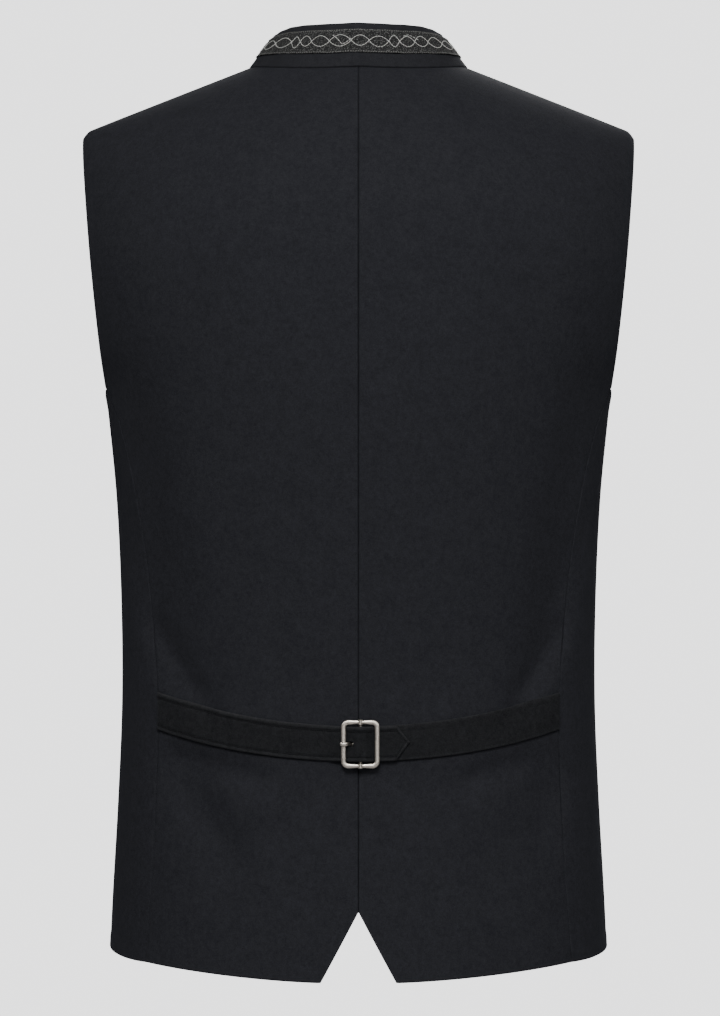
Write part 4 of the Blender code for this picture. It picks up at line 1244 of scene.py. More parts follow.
@dataclass
class Belt:
    """Cinch belt in two straps, with its places over the back."""

    form: BodyForm
    wall: float = 0.0019
    centre_height: float = -0.4680
    rise: float = 0.0204
    half_side: float = 0.0127
    half_middle: float = 0.0119
    end_x: float = 0.1364
    tail_corner: float = -0.0252
    tail_tip: float = -0.0342
    buckle_x: float = -0.0013
    bar_offset: float = 0.00385
    loop_radius: float = 0.00355
    loop_return: float = 0.0028
    slit_half: float = 0.0016
    top_stitch: float = 0.0037
    low_stitch: float = 0.0030
    groove: float = 0.00045
    groove_width: float = 0.0008
    roll: float = 0.00045
    lift_from: float = 0.0240
    slit_from: float = 0.0096
    slit_to: float = 0.0048

    @property
    def lifts(self) -> list[tuple[float, float]]:
        """Under side of the left strap near the buckle: x from the bar and height over the cloth."""
        return [
            (0.0240, 0.0003),
            (0.0185, 0.0012),
            (0.0142, 0.0024),
            (0.0098, 0.0025),
            (0.0070, 0.0044),
            (0.0040, 0.0066),
            (0.0018, 0.0076),
            (-0.0010, 0.0078),
            (-0.0033, 0.0077),
            (-0.0062, 0.0052),
            (-0.0092, 0.0026),
            (-0.0135, 0.0025),
            (-0.0360, 0.0025),
        ]

    def middle(self, x: np.ndarray) -> np.ndarray:
        """Heights of the belt's middle line at signed distances from the mid-plane."""
        return self.centre_height + self.rise * (x / SIDE_SEAM[4].x) ** 2

    def half(self, x: np.ndarray) -> np.ndarray:
        """Half the belt's breadth at signed distances from the mid-plane."""
        return blend(self.half_middle, self.half_side, ease(np.abs(x) / SIDE_SEAM[4].x))

    def place(self, x: np.ndarray, off: np.ndarray, rise: np.ndarray) -> Pair:
        """Points over the back, by distance above the belt's middle line and height over the cloth.

        Args:
            x: Signed distances from the mid-plane.
            off: Distances above the middle line.
            rise: Heights over the cloth.

        Returns:
            Points and outward directions.
        """
        x, off, rise = np.broadcast_arrays(x, off, rise)
        point, normal = self.form.back_place(x, self.middle(x) + off)
        return point + normal * rise[..., None], normal

    def puff(self, off: np.ndarray, half: np.ndarray) -> np.ndarray:
        """Relief of the strap's face: two stitched grooves and rolled edges beside them.

        Args:
            off: Distances above the middle line.
            half: Half breadths.

        Returns:
            Heights over the plain face.
        """
        from_top = half - off
        from_low = half + off
        grooves = np.exp(-(((from_top - self.top_stitch) / self.groove_width) ** 2))
        grooves = grooves + np.exp(-(((from_low - self.low_stitch) / self.groove_width) ** 2))
        rolls = np.exp(-(((from_top - 0.0018) / 0.0011) ** 2))
        rolls = rolls + 0.7 * np.exp(-(((from_low - 0.0015) / 0.0010) ** 2))
        return self.roll * rolls - self.groove * grooves

    def shares(self) -> np.ndarray:
        """Shares across a strap, with lines on the prong's slit.

        Returns:
            Shares from -1 to 1.
        """
        fine = np.array([0.0, 0.0003, 0.0007, 0.0011, 0.0017]) / 0.024
        slit = self.slit_half / self.half_middle
        half = aligned(bordered(16, [0.0, 0.02], 2 * fine), slit)
        return np.concatenate([-half[:0:-1], half])

    def shell(
        self, name: str, x: np.ndarray, rise: np.ndarray, lean: np.ndarray, half: np.ndarray, hole: tuple
    ) -> ShellMesh:
        """Closed strap along a path over the back.

        Args:
            name: Name of the object.
            x: Distances of the path's stations from the mid-plane.
            rise: Heights of the strap's middle over the cloth.
            lean: Directions of the thickness at the stations, as (x, height) pairs.
            half: Half breadths at the stations.
            hole: First and last station of the prong's slit.

        Returns:
            The shell.
        """
        share = self.shares()
        off = share * half[:, None]
        middle, _ = self.place(x[:, None], off, rise[:, None])
        borders = [middle[0], middle[-1], middle[:, 0], middle[:, -1]]
        free = np.min([border_distance(middle, border) for border in borders], axis=0)
        cloth = Cloth()
        fall = cloth.sink(free, self.wall / 2 - 0.00005)
        reach = self.wall / 2 - fall
        relief = self.puff(off, half[:, None]) * np.clip(reach / (self.wall / 2), 0.0, 1.0)
        face, _ = self.place(
            x[:, None] + lean[:, :1] * (reach + relief), off, rise[:, None] + lean[:, 1:] * (reach + relief)
        )
        under, _ = self.place(x[:, None] - lean[:, :1] * reach, off, rise[:, None] - lean[:, 1:] * reach)
        missing = np.zeros((len(x) - 1, len(share) - 1), bool)
        inside = np.abs(share[:-1] + share[1:]) / 2 < self.slit_half / self.half_middle
        missing[hole[0] : hole[1], inside] = True
        return ShellMesh(name, face, under, missing, edge=free)

    def build_left(self, material: bpy.types.Material) -> bpy.types.Object:
        """Left strap: over the bar under both rails, with the prong's slit and a pointed tail.

        Args:
            material: Cloth of the strap.

        Returns:
            The strap's object.
        """
        stops = [self.end_x, self.end_x - 0.0006, self.end_x - 0.0016]
        ends = (self.lift_from, self.slit_from, self.slit_to)
        lift, first_x, last_x = (self.buckle_x + end for end in ends)
        flat = np.linspace(self.end_x - 0.004, lift, 66)
        near = np.linspace(lift, first_x, 14)[1:]
        slit = np.linspace(first_x, last_x, 7)[1:]
        over = np.linspace(last_x, self.tail_corner, 30)[1:]
        tail = np.linspace(self.tail_corner, self.tail_tip + 0.0004, 14)[1:]
        x = np.concatenate([stops, flat, near, slit, over, tail, [self.tail_tip]])
        keys = [self.end_x - self.buckle_x] + [lift[0] for lift in self.lifts]
        values = [SEAM_GAP] + [lift[1] for lift in self.lifts]
        along = x - self.buckle_x
        rise = np.where(along > self.lift_from, SEAM_GAP, curve_value(keys, values, along)) + self.wall / 2
        half = self.half(x)
        pointed = np.clip((x - self.tail_tip) / (self.tail_corner - self.tail_tip), 0.0, 1.0)
        half = np.where(x < self.tail_corner, np.maximum(half * pointed, 0.0004), half)
        lean = np.tile([0.0, 1.0], (len(x), 1))
        hole = tuple(int(np.argmin(np.abs(x - end))) for end in (first_x, last_x))
        shell = self.shell("belt_left_cloth", x, rise, lean, half, hole)
        return stand_in(shell.build(material, "cloth"), "belt_left")

    def build_right(self, material: bpy.types.Material) -> bpy.types.Object:
        """Right strap: flat on the back, then folded round the buckle's bar.

        Args:
            material: Cloth of the strap.

        Returns:
            The strap's object.
        """
        stops = [-self.end_x, -self.end_x + 0.0006, -self.end_x + 0.0016]
        flat = np.linspace(-self.end_x + 0.004, self.buckle_x - 0.0012, 74)
        radius = self.loop_radius - self.wall / 2
        turn = np.linspace(0.0, math.pi, 25)
        back = np.linspace(0.0, self.loop_return, 5)[1:]
        x = np.concatenate(
            [stops, flat, self.buckle_x + radius * np.sin(turn), self.buckle_x - back]
        )
        count = len(stops) + len(flat)
        rise = np.full(len(x), SEAM_GAP + self.wall / 2)
        rise[count : count + len(turn)] = self.bar_offset - radius * np.cos(turn)
        rise[count + len(turn) :] = self.bar_offset + radius
        lean = np.tile([0.0, -1.0], (len(x), 1))
        lean[count : count + len(turn)] = np.stack([np.sin(turn), -np.cos(turn)], axis=-1)
        lean[count + len(turn) :] = [0.0, 1.0]
        hole = (count + 4, count + len(turn) - 6)
        shell = self.shell("belt_right_cloth", x, rise, lean, self.half(x), hole)
        return stand_in(shell.build(material, "cloth"), "belt_right")

    def stitch_rows(self, rise: float) -> list[Pair]:
        """Topstitching of both straps and of the pointed tail.

        Args:
            rise: Height of the stitches' middle over the strap's cloth.

        Returns:
            Points and outward directions of each row.
        """
        face = SEAM_GAP + self.wall + rise
        near = self.buckle_x + self.lift_from
        paths = []
        for first, last in ((self.end_x - 0.001, near), (-self.end_x + 0.001, self.buckle_x - 0.004)):
            x = np.linspace(first, last, 160)
            half = self.half(x)
            paths.append(self.place(x, half - self.top_stitch, face))
            paths.append(self.place(x, self.low_stitch - half, face))
        over = np.linspace(near, self.tail_corner - 0.0005, 140)
        keys = [lift[0] for lift in self.lifts]
        values = [lift[1] for lift in self.lifts]
        lifted = curve_value(keys, values, over - self.buckle_x) + self.wall + rise
        half = self.half(over)
        edges = [half - self.top_stitch, self.low_stitch - half]
        paths += [self.place(over, edge, lifted) for edge in edges]
        tip = [self.tail_corner - 0.0005, self.tail_tip + 0.0042, self.tail_corner - 0.0005]
        share = np.linspace(0.0, 2.0, 40)
        x = np.interp(share, [0.0, 1.0, 2.0], tip)
        off = np.interp(share, [0.0, 1.0, 2.0], [edges[0][-1], 0.0, edges[1][-1]])
        paths.append(self.place(x, off, values[-1] + self.wall + rise))
        return paths


class NodeBoard:
    """Short hand for building a shader's nodes."""

    def __init__(self, tree: bpy.types.NodeTree) -> None:
        """Keep the node tree to build in."""
        self.tree = tree

    def add(self, kind: str, inputs: dict | None = None, **values: object) -> bpy.types.Node:
        """Add a node.

        Args:
            kind: Type of the node.
            inputs: Values or sockets for its inputs, by name or number.
            **values: Properties of the node.

        Returns:
            The node.
        """
        node = self.tree.nodes.new(kind)
        for key, value in values.items():
            setattr(node, key, value)
        self.feed(node, inputs or {})
        return node

    def feed(self, node: bpy.types.Node, inputs: dict) -> None:
        """Link or set a node's inputs.

        Args:
            node: The node.
            inputs: Values or sockets for its inputs, by name or number.
        """
        for key, value in inputs.items():
            if isinstance(value, bpy.types.NodeSocket):
                self.tree.links.new(value, node.inputs[key])
            else:
                node.inputs[key].default_value = value

    def maths(self, operation: str, first: object, second: object = 0.0) -> bpy.types.NodeSocket:
        """Socket of a math operation on two values or sockets."""
        return self.add("ShaderNodeMath", {0: first, 1: second}, operation=operation).outputs[0]

    def remap(
        self, value: bpy.types.NodeSocket, low: float, high: float, to_low: float, to_high: float
    ) -> bpy.types.NodeSocket:
        """Socket that maps a range of values to another one, clamped."""
        inputs = {"Value": value, 1: low, 2: high, 3: to_low, 4: to_high}
        return self.add("ShaderNodeMapRange", inputs).outputs[0]

    def noise(
        self, place: bpy.types.NodeSocket, scale: float, detail: float, rough: float = 0.5
    ) -> bpy.types.NodeSocket:
        """Value socket of a noise texture at the given coordinates."""
        inputs = {"Vector": place, "Scale": scale, "Detail": detail, "Roughness": rough}
        return self.add("ShaderNodeTexNoise", inputs).outputs["Fac"]

    def tint(
        self, share: object, first: object, second: object, blend_type: str = "MIX"
    ) -> bpy.types.NodeSocket:
        """Mix two colours.

        Args:
            share: Value or socket of the share.
            first: First colour or socket.
            second: Second colour or socket.
            blend_type: How they are mixed.

        Returns:
            The result's socket.
        """
        inputs = {0: share, 6: first, 7: second}
        node = self.add("ShaderNodeMix", inputs, data_type="RGBA", blend_type=blend_type)
        return node.outputs[2]


@dataclass
class StitchRun:
    """Row of sewn stitches along a path on the cloth, built with Geometry Nodes."""

    name: str
    length: float
    pitch: float
    radius: float
    rise: float
    jitter: float = 0.06
    seed: int = 7
    sides: int = 6

    def nodes(self) -> bpy.types.NodeTree:
        """Node group that sets a bowed stitch at every pitch of the path.

        Returns:
            The group, with the inputs Length, Pitch, Radius, Rise, Jitter, Seed and Thread.
        """
        tree = bpy.data.node_groups.new("stitch run", "GeometryNodeTree")
        face = tree.interface
        face.new_socket("Geometry", in_out="INPUT", socket_type="NodeSocketGeometry")
        for label in ("Length", "Pitch", "Radius", "Rise", "Jitter"):
            face.new_socket(label, in_out="INPUT", socket_type="NodeSocketFloat")
        face.new_socket("Seed", in_out="INPUT", socket_type="NodeSocketInt")
        face.new_socket("Thread", in_out="INPUT", socket_type="NodeSocketMaterial")
        face.new_socket("Geometry", in_out="OUTPUT", socket_type="NodeSocketGeometry")
        board = NodeBoard(tree)
        group = board.add("NodeGroupInput").outputs
        # One stitch: a line bowed upwards, thin at both ends
        ends = {"Start": (-0.5, 0.0, 0.0), "End": (0.5, 0.0, 0.0)}
        line = board.add("GeometryNodeCurvePrimitiveLine", ends).outputs["Curve"]
        fine = board.add("GeometryNodeResampleCurve", {"Curve": line, "Count": 7}).outputs["Curve"]
        place = board.add("GeometryNodeInputPosition").outputs[0]
        along = board.add("ShaderNodeSeparateXYZ", {0: place}).outputs["X"]
        square = board.maths("MULTIPLY", along, along)
        bow = board.maths("SUBTRACT", 1.0, board.maths("MULTIPLY", 4.0, square))
        out = board.maths("MULTIPLY", along, group["Length"])
        up = board.maths("MULTIPLY", bow, group["Rise"])
        bowed = board.add("ShaderNodeCombineXYZ", {"X": out, "Z": up}).outputs[0]
        moved = board.add("GeometryNodeSetPosition", {"Geometry": fine, "Position": bowed}).outputs[0]
        thinning = board.maths("POWER", board.maths("ADD", bow, 0.12), 0.4)
        width = board.maths("MULTIPLY", thinning, group["Radius"])
        circle = {"Resolution": self.sides, "Radius": 1.0}
        thread = board.add("GeometryNodeCurvePrimitiveCircle", circle).outputs["Curve"]
        sweep = {"Curve": moved, "Profile Curve": thread, "Scale": width, "Fill Caps": True}
        stitch = board.add("GeometryNodeCurveToMesh", sweep).outputs[0]
        # The run: points at every pitch, turned along the path and away from the cloth
        path = board.add("GeometryNodeMeshToCurve", {"Mesh": group["Geometry"]}).outputs["Curve"]
        pitch = {"Curve": path, "Length": group["Pitch"]}
        even = board.add("GeometryNodeCurveToPoints", pitch, mode="LENGTH").outputs
        named = "GeometryNodeInputNamedAttribute"
        outward = board.add(named, {"Name": "outward"}, data_type="FLOAT_VECTOR").outputs["Attribute"]
        turn = "FunctionNodeAlignRotationToVector"
        first = board.add(turn, {"Vector": even["Tangent"]}, axis="X").outputs[0]
        second = {"Rotation": first, "Vector": outward}
        faced = board.add(turn, second, axis="Z", pivot_axis="X").outputs[0]
        random = board.add("FunctionNodeRandomValue", {"Seed": group["Seed"]}, data_type="FLOAT_VECTOR")
        half = {0: random.outputs[0], 1: (0.5, 0.5, 0.5)}
        centred = board.add("ShaderNodeVectorMath", half, operation="SUBTRACT").outputs[0]
        spread = {0: centred, "Scale": group["Jitter"]}
        uneven = board.add("ShaderNodeVectorMath", spread, operation="SCALE").outputs[0]
        as_turn = board.add("FunctionNodeEulerToRotation", {0: uneven}).outputs[0]
        both = {0: faced, 1: as_turn}
        turned = board.add("FunctionNodeRotateRotation", both, rotation_space="LOCAL").outputs[0]
        store = {"Geometry": even["Points"], "Name": "turned", "Value": turned}
        kept = board.add("GeometryNodeStoreNamedAttribute", store, data_type="QUATERNION", domain="POINT")
        again = board.add(named, {"Name": "turned"}, data_type="QUATERNION").outputs["Attribute"]
        spots = {"Points": kept.outputs[0], "Instance": stitch, "Rotation": again}
        placed = board.add("GeometryNodeInstanceOnPoints", spots).outputs[0]
        real = board.add("GeometryNodeRealizeInstances", {0: placed}).outputs[0]
        paint = {"Geometry": real, "Material": group["Thread"]}
        painted = board.add("GeometryNodeSetMaterial", paint).outputs[0]
        board.add("NodeGroupOutput", {0: painted})
        return tree

    def path_object(self, paths: Sequence[Pair]) -> bpy.types.Object:
        """Mesh of edges along the paths, with their outward directions.

        Args:
            paths: Points and outward directions of each path.

        Returns:
            The object, linked to the scene.
        """
        points = np.concatenate([path[0] for path in paths])
        normals = np.concatenate([path[1] for path in paths])
        edges = []
        first = 0
        for path in paths:
            count = len(path[0])
            edges += [(first + i, first + i + 1) for i in range(count - 1)]
            first += count
        mesh = bpy.data.meshes.new(self.name)
        mesh.from_pydata(points.tolist(), edges, [])
        layer = mesh.attributes.new("outward", "FLOAT_VECTOR", "POINT")
        layer.data.foreach_set("vector", normals.astype(np.float32).reshape(-1))
        return link_mesh(self.name + "_path", mesh)

    def build(
        self, paths: Sequence[Pair], thread: bpy.types.Material, slot: str
    ) -> bpy.types.Object:
        """Sew the run.

        Args:
            paths: Points and outward directions of each path.
            thread: Finish of the thread.
            slot: Material slot; not used.

        Returns:
            The stitches as one plain mesh.
        """
        source = self.path_object(paths)
        modifier = source.modifiers.new("stitches", "NODES")
        tree = self.nodes()
        modifier.node_group = tree
        values = {
            "Length": self.length,
            "Pitch": self.pitch,
            "Radius": self.radius,
            "Rise": self.rise,
            "Jitter": self.jitter,
            "Seed": self.seed,
            "Thread": thread,
        }
        for item in tree.interface.items_tree:
            if item.in_out == "INPUT" and item.name in values:
                modifier[item.identifier] = values[item.name]
        source.update_tag()
        graph = bpy.context.evaluated_depsgraph_get()
        mesh = bpy.data.meshes.new_from_object(source.evaluated_get(graph))
        mesh.name = self.name
        mesh.shade_smooth()
        obj = link_mesh(self.name, mesh)
        if not mesh.materials:
            mesh.materials.append(thread)
        bpy.data.objects.remove(source, do_unlink=True)
        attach(obj, BODY)
        return obj


@dataclass
class Tube:
    """Smooth solid through rings of points."""

    name: str
    rings: np.ndarray
    closed: bool = False

    def parts(self, first: int) -> tuple[list, list]:
        """Points and faces of the solid.

        Args:
            first: Number of its first point.

        Returns:
            Points and faces.
        """
        count, sides = self.rings.shape[:2]
        index = first + np.arange(count * sides).reshape(count, sides)
        following = np.roll(index, -1, axis=0)
        keep = count if self.closed else count - 1
        beside = np.roll(index, -1, axis=1)
        after = np.roll(following, -1, axis=1)
        quads = np.stack([index, beside, after, following], axis=-1)[:keep].reshape(-1, 4)
        faces = quads.tolist()
        if not self.closed:
            faces.append(index[0, ::-1].tolist())
            faces.append(index[-1].tolist())
        return self.rings.reshape(-1, 3).tolist(), faces


def build_tubes(
    name: str, tubes: Sequence[Tube], material: bpy.types.Material, node: str
) -> bpy.types.Object:
    """Join tubes into one piece that stands in for a node.

    Args:
        name: Name of the object.
        tubes: Solids of the piece.
        material: Finish.
        node: Node of the frame.

    Returns:
        The piece.
    """
    points: list = []
    faces: list = []
    for tube in tubes:
        more_points, more_faces = tube.parts(len(points))
        centre = tube.rings.mean(axis=(0, 1))
        probe = np.array(more_points)
        a, b, c = (probe[np.array([f[i] for f in more_faces]) - len(points)] - centre for i in range(3))
        if np.sum(a * np.cross(b, c)) < 0:
            more_faces = [face[::-1] for face in more_faces]
        points += more_points
        faces += more_faces
    mesh = bpy.data.meshes.new(name)
    mesh.from_pydata(points, [], faces)
    mesh.shade_smooth()
    mesh.set_sharp_from_angle(angle=math.radians(50))
    obj = link_mesh(name, mesh)
    mesh.materials.append(material)
    return stand_in(obj, node)


def oval(half_width: float, half_depth: float, sides: int = 20, power: float = 0.72) -> np.ndarray:
    """Rounded oval section.

    Args:
        half_width: Half of its breadth.
        half_depth: Half of its depth.
        sides: Number of points.
        power: 1 for an ellipse, less for a fuller shape.

    Returns:
        Pairs across and out.
    """
    turn = 2 * np.pi * (np.arange(sides) + 0.5) / sides
    across = half_width * signed_power(np.cos(turn), power)
    return np.stack([across, half_depth * signed_power(np.sin(turn), power)], axis=-1)


@dataclass
class Buckle:
    """Slide buckle of satin nickel: frame, centre bar with two lugs, and prong."""

    belt: Belt
    width: float = 0.0260
    height: float = 0.0318
    corner: float = 0.0046
    rail: float = 0.0034
    end_rail: float = 0.0025
    depth: float = 0.0024
    offset: float = 0.0059
    bar_radius: float = 0.0011
    lug_half: float = 0.0017
    lug_overhang: float = 0.0006
    prong_half: float = 0.0013
    prong_depth: float = 0.0007

    @property
    def prong_path(self) -> list[tuple[float, float]]:
        """Middle line of the prong: x from the bar and height over the cloth."""
        return [
            (0.0016, 0.0039),
            (0.0044, 0.0038),
            (0.0060, 0.0040),
            (0.0073, 0.0052),
            (0.0084, 0.0068),
            (0.0096, 0.0079),
            (0.0115, 0.0082),
            (0.0131, 0.0080),
            (0.0137, 0.0079),
        ]

    def point(self, off: np.ndarray, up: np.ndarray, out: np.ndarray) -> np.ndarray:
        """Points in the buckle's own plane.

        Args:
            off: Distances from the bar towards the left side.
            up: Distances above the belt's middle line.
            out: Heights over the cloth.

        Returns:
            Points.
        """
        x = np.array(self.belt.buckle_x)
        middle, outward = self.belt.place(x, np.array(0.0), np.array(0.0))
        across = np.array([1.0, 0.0, 0.0])
        outward = unit(outward - across * np.dot(outward, across))
        upward = -np.cross(across, outward)
        off, up, out = np.broadcast_arrays(off, up, out)
        return middle + off[..., None] * across + up[..., None] * upward + out[..., None] * outward

    def frame_rings(self) -> np.ndarray:
        """Rings of the rounded frame with its thinner end rails.

        Returns:
            Rings of points.
        """
        half_width = (self.width - self.rail) / 2
        half_height = (self.height - self.end_rail) / 2
        radius = self.corner - self.end_rail / 2
        rings = []
        for corner in range(4):
            centre_x = (half_width - radius) * (1 if corner in (0, 3) else -1)
            centre_z = (half_height - radius) * (1 if corner in (0, 1) else -1)
            places = [(centre_x, centre_z, math.pi / 2 * (corner + s)) for s in np.linspace(0, 1, 13)]
            if corner in (0, 2):
                side = (half_width - radius) * (1 if corner == 0 else -1)
                turn = math.pi / 2 * (corner + 1)
                places += [(side * s, centre_z, turn) for s in np.linspace(0.9, -0.9, 15)]
            for x, z, turn in places:
                out = np.array([math.cos(turn), math.sin(turn)])
                middle = np.array([x, z]) + radius * out
                share = float(ease(np.array(abs(middle[0]) / (self.width / 2 - self.corner))))
                half = blend(self.end_rail, self.rail, share) / 2
                section = oval(half, self.depth / 2)
                spot = middle + out * section[:, :1]
                rings.append(self.point(spot[:, 0], spot[:, 1], self.offset + section[:, 1]))
        return np.array(rings)

    def bar(self) -> Tube:
        """Round centre bar from one rail to the other.

        Returns:
            The bar.
        """
        ring = oval(self.bar_radius, self.bar_radius, 20, 1.0)
        half = self.height / 2 - self.end_rail / 2
        out = self.belt.bar_offset + ring[:, 1]
        return Tube("bar", np.array([self.point(ring[:, 0], np.array(up), out) for up in (-half, half)]))

    def lug(self, sign: int) -> Tube:
        """Lug that holds an end of the bar under its rail.

        Args:
            sign: 1 for the upper rail, -1 for the lower one.

        Returns:
            The lug.
        """
        high = self.offset + self.depth / 2
        low = self.belt.bar_offset - self.bar_radius
        start = self.height / 2 - self.end_rail - self.lug_overhang
        end = self.height / 2 + self.lug_overhang
        rings = []
        for up, scale in ((start, 0.8), (start + 0.0003, 1.0), (end - 0.0003, 1.0), (end, 0.8)):
            section = oval(self.lug_half, (high - low) / 2 + self.lug_overhang) * scale
            middle = (high + low) / 2
            rings.append(self.point(section[:, 0], np.array(sign * up), middle + section[:, 1]))
        return Tube("lug", np.array(rings))

    def prong(self) -> Tube:
        """Prong that is bent over the rail and narrows to a round tip.

        Returns:
            The prong.
        """
        path = np.array(self.prong_path)
        length = np.concatenate([[0.0], np.cumsum(np.linalg.norm(np.diff(path, axis=0), axis=-1))])
        at = np.linspace(0.0, length[-1], 40)
        off = -curve_value(-length, -path[:, 0], -at)
        out = curve_value(-length, path[:, 1], -at)
        slope = unit(np.stack([np.gradient(off), np.gradient(out)], axis=-1))
        tip = np.clip((length[-1] - at) / 0.0012, 0.0, 1.0)
        narrow = 0.35 + 0.65 * np.sqrt(1 - (1 - tip) ** 2)
        rings = []
        for i in range(len(at)):
            section = oval(self.prong_half, self.prong_depth, 18) * narrow[i]
            across = off[i] - slope[i, 1] * section[:, 1]
            rings.append(self.point(across, section[:, 0], out[i] + slope[i, 0] * section[:, 1]))
        return Tube("prong", np.array(rings))

    def build(self, nickel: bpy.types.Material) -> None:
        """Build the frame with its bar and lugs, and the prong.

        Args:
            nickel: Finish of the metal.
        """
        tubes = [Tube("frame", self.frame_rings(), closed=True), self.bar(), self.lug(-1), self.lug(1)]
        build_tubes("buckle_frame_metal", tubes, nickel, "buckle_frame")
        build_tubes("buckle_prong_metal", [self.prong()], nickel, "buckle_prong")


@dataclass
class Buttons:
    """Plain domed buttons at centre front, each with the buttonhole that it passes."""

    form: BodyForm
    count: int = 8
    top: float = -0.0960
    bottom: float = -0.5330
    gap: float = 0.0004
    sides: int = 48
    hole_start: float = -0.0030
    hole_end: float = 0.0140
    hole_half: float = 0.0013

    @property
    def profile(self) -> list[tuple[float, float]]:
        """Radius and height of the button's rings, from its back to its crown."""
        return [
            (0.0060, 0.0000),
            (0.0068, 0.0001),
            (0.0074, 0.0006),
            (0.0075, 0.0010),
            (0.0073, 0.0015),
            (0.0067, 0.0017),
            (0.0064, 0.0016),
            (0.0060, 0.0018),
            (0.0048, 0.0026),
            (0.0033, 0.0031),
            (0.0017, 0.0034),
            (0.0004, 0.0034),
        ]

    def heights(self) -> np.ndarray:
        """Heights of the buttons, from the top one down."""
        return np.linspace(self.top, self.bottom, self.count)

    def build(self, nickel: bpy.types.Material) -> list[bpy.types.Object]:
        """Build the buttons.

        Args:
            nickel: Finish of the metal.

        Returns:
            The buttons.
        """
        pieces = []
        turn = 2 * np.pi * np.arange(self.sides) / self.sides
        for i, height in enumerate(self.heights()):
            point, normal = self.form.place(np.array(0.0), np.array(height), 1)
            across = np.array([1.0, 0.0, 0.0])
            up = unit(np.cross(normal, across))
            wheel = np.cos(turn)[:, None] * across + np.sin(turn)[:, None] * up
            rings = [point + normal * (self.gap + rise) + wheel * radius for radius, rise in self.profile]
            tube = Tube("button", np.array(rings))
            name = f"front_button_{i + 1}"
            pieces.append(build_tubes(f"{name}_metal", [tube], nickel, name))
        return pieces

    def hole_paths(self, rise: float) -> list[Pair]:
        """Rings of buttonhole stitching on the left front.

        Args:
            rise: Height over the cloth.

        Returns:
            Points and outward directions of each buttonhole.
        """
        paths = []
        turn = np.linspace(0.0, 2 * np.pi, 60)
        middle = (self.hole_start + self.hole_end) / 2
        half = (self.hole_end - self.hole_start) / 2
        for height in self.heights():
            x = middle + half * signed_power(np.cos(turn), 0.6)
            z = height + self.hole_half * signed_power(np.sin(turn), 0.6)
            point, normal = self.form.place(self.form.angle_at(x, z), z, 1)
            paths.append((point + normal * rise, normal))
        return paths


def rgba(colour: Sequence[float]) -> tuple[float, ...]:
    """Opaque colour for a socket, from red, green and blue."""
    return (*colour, 1.0)


def open_material(name: str) -> tuple[bpy.types.Material, NodeBoard, bpy.types.Node]:
    """Start a material.

    Args:
        name: Name of the material.

    Returns:
        The material, its board and its shader.
    """
    material = bpy.data.materials.new(name)
    material.use_nodes = True
    return material, NodeBoard(material.node_tree), material.node_tree.nodes["Principled BSDF"]


def open_group(name: str, outputs: Sequence[str]) -> tuple[NodeBoard, Callable[[str, object], None]]:
    """Start a shader node group.

    Args:
        name: Name of the group.
        outputs: Names of its values.

    Returns:
        The board and a function that feeds an output.
    """
    tree = bpy.data.node_groups.new(name, "ShaderNodeTree")
    for output in outputs:
        tree.interface.new_socket(output, in_out="OUTPUT", socket_type="NodeSocketFloat")
    end = tree.nodes.new("NodeGroupOutput")

    def feed(output: str, socket: object) -> None:
        """Feed one of the group's outputs from a socket."""
        tree.links.new(socket, end.inputs[output])

    return NodeBoard(tree), feed


def brushed_cloth_group() -> bpy.types.NodeTree:
    """Brushed woollen cloth: mottling, a fine twill under the nap, and its relief.

    Returns:
        Group with the values Mottle, Weave and Relief.
    """
    board, feed = open_group("brushed cloth", ["Mottle", "Weave", "Relief"])
    place = board.add("ShaderNodeTexCoord").outputs["Object"]
    flat = board.add("ShaderNodeUVMap", uv_map="cloth").outputs[0]
    broad = board.noise(place, 95.0, 3.0, 0.55)
    small = board.noise(place, 330.0, 4.0, 0.62)
    speck = board.noise(place, 1300.0, 2.0, 0.6)
    mottle = board.maths("ADD", board.maths("MULTIPLY", broad, 0.15), board.maths("MULTIPLY", small, 0.35))
    mottle = board.maths("ADD", mottle, board.maths("MULTIPLY", speck, 0.50))
    feed("Mottle", mottle)
    turned = board.add("ShaderNodeMapping", {"Vector": flat, "Rotation": (0.0, 0.0, math.radians(52))})
    twill = board.add(
        "ShaderNodeTexWave",
        {"Vector": turned.outputs[0], "Scale": 700.0, "Distortion": 2.4, "Detail": 2.0},
        bands_direction="X",
    ).outputs["Fac"]
    feed("Weave", twill)
    stretched = board.add("ShaderNodeMapping", {"Vector": flat, "Scale": (2600.0, 800.0, 1.0)})
    hair = board.noise(stretched.outputs[0], 1.0, 2.0, 0.6)
    relief = board.maths("ADD", board.maths("MULTIPLY", twill, 0.35), board.maths("MULTIPLY", hair, 0.5))
    relief = board.maths("ADD", relief, board.maths("MULTIPLY", small, 0.45))
    feed("Relief", relief)
    return board.tree


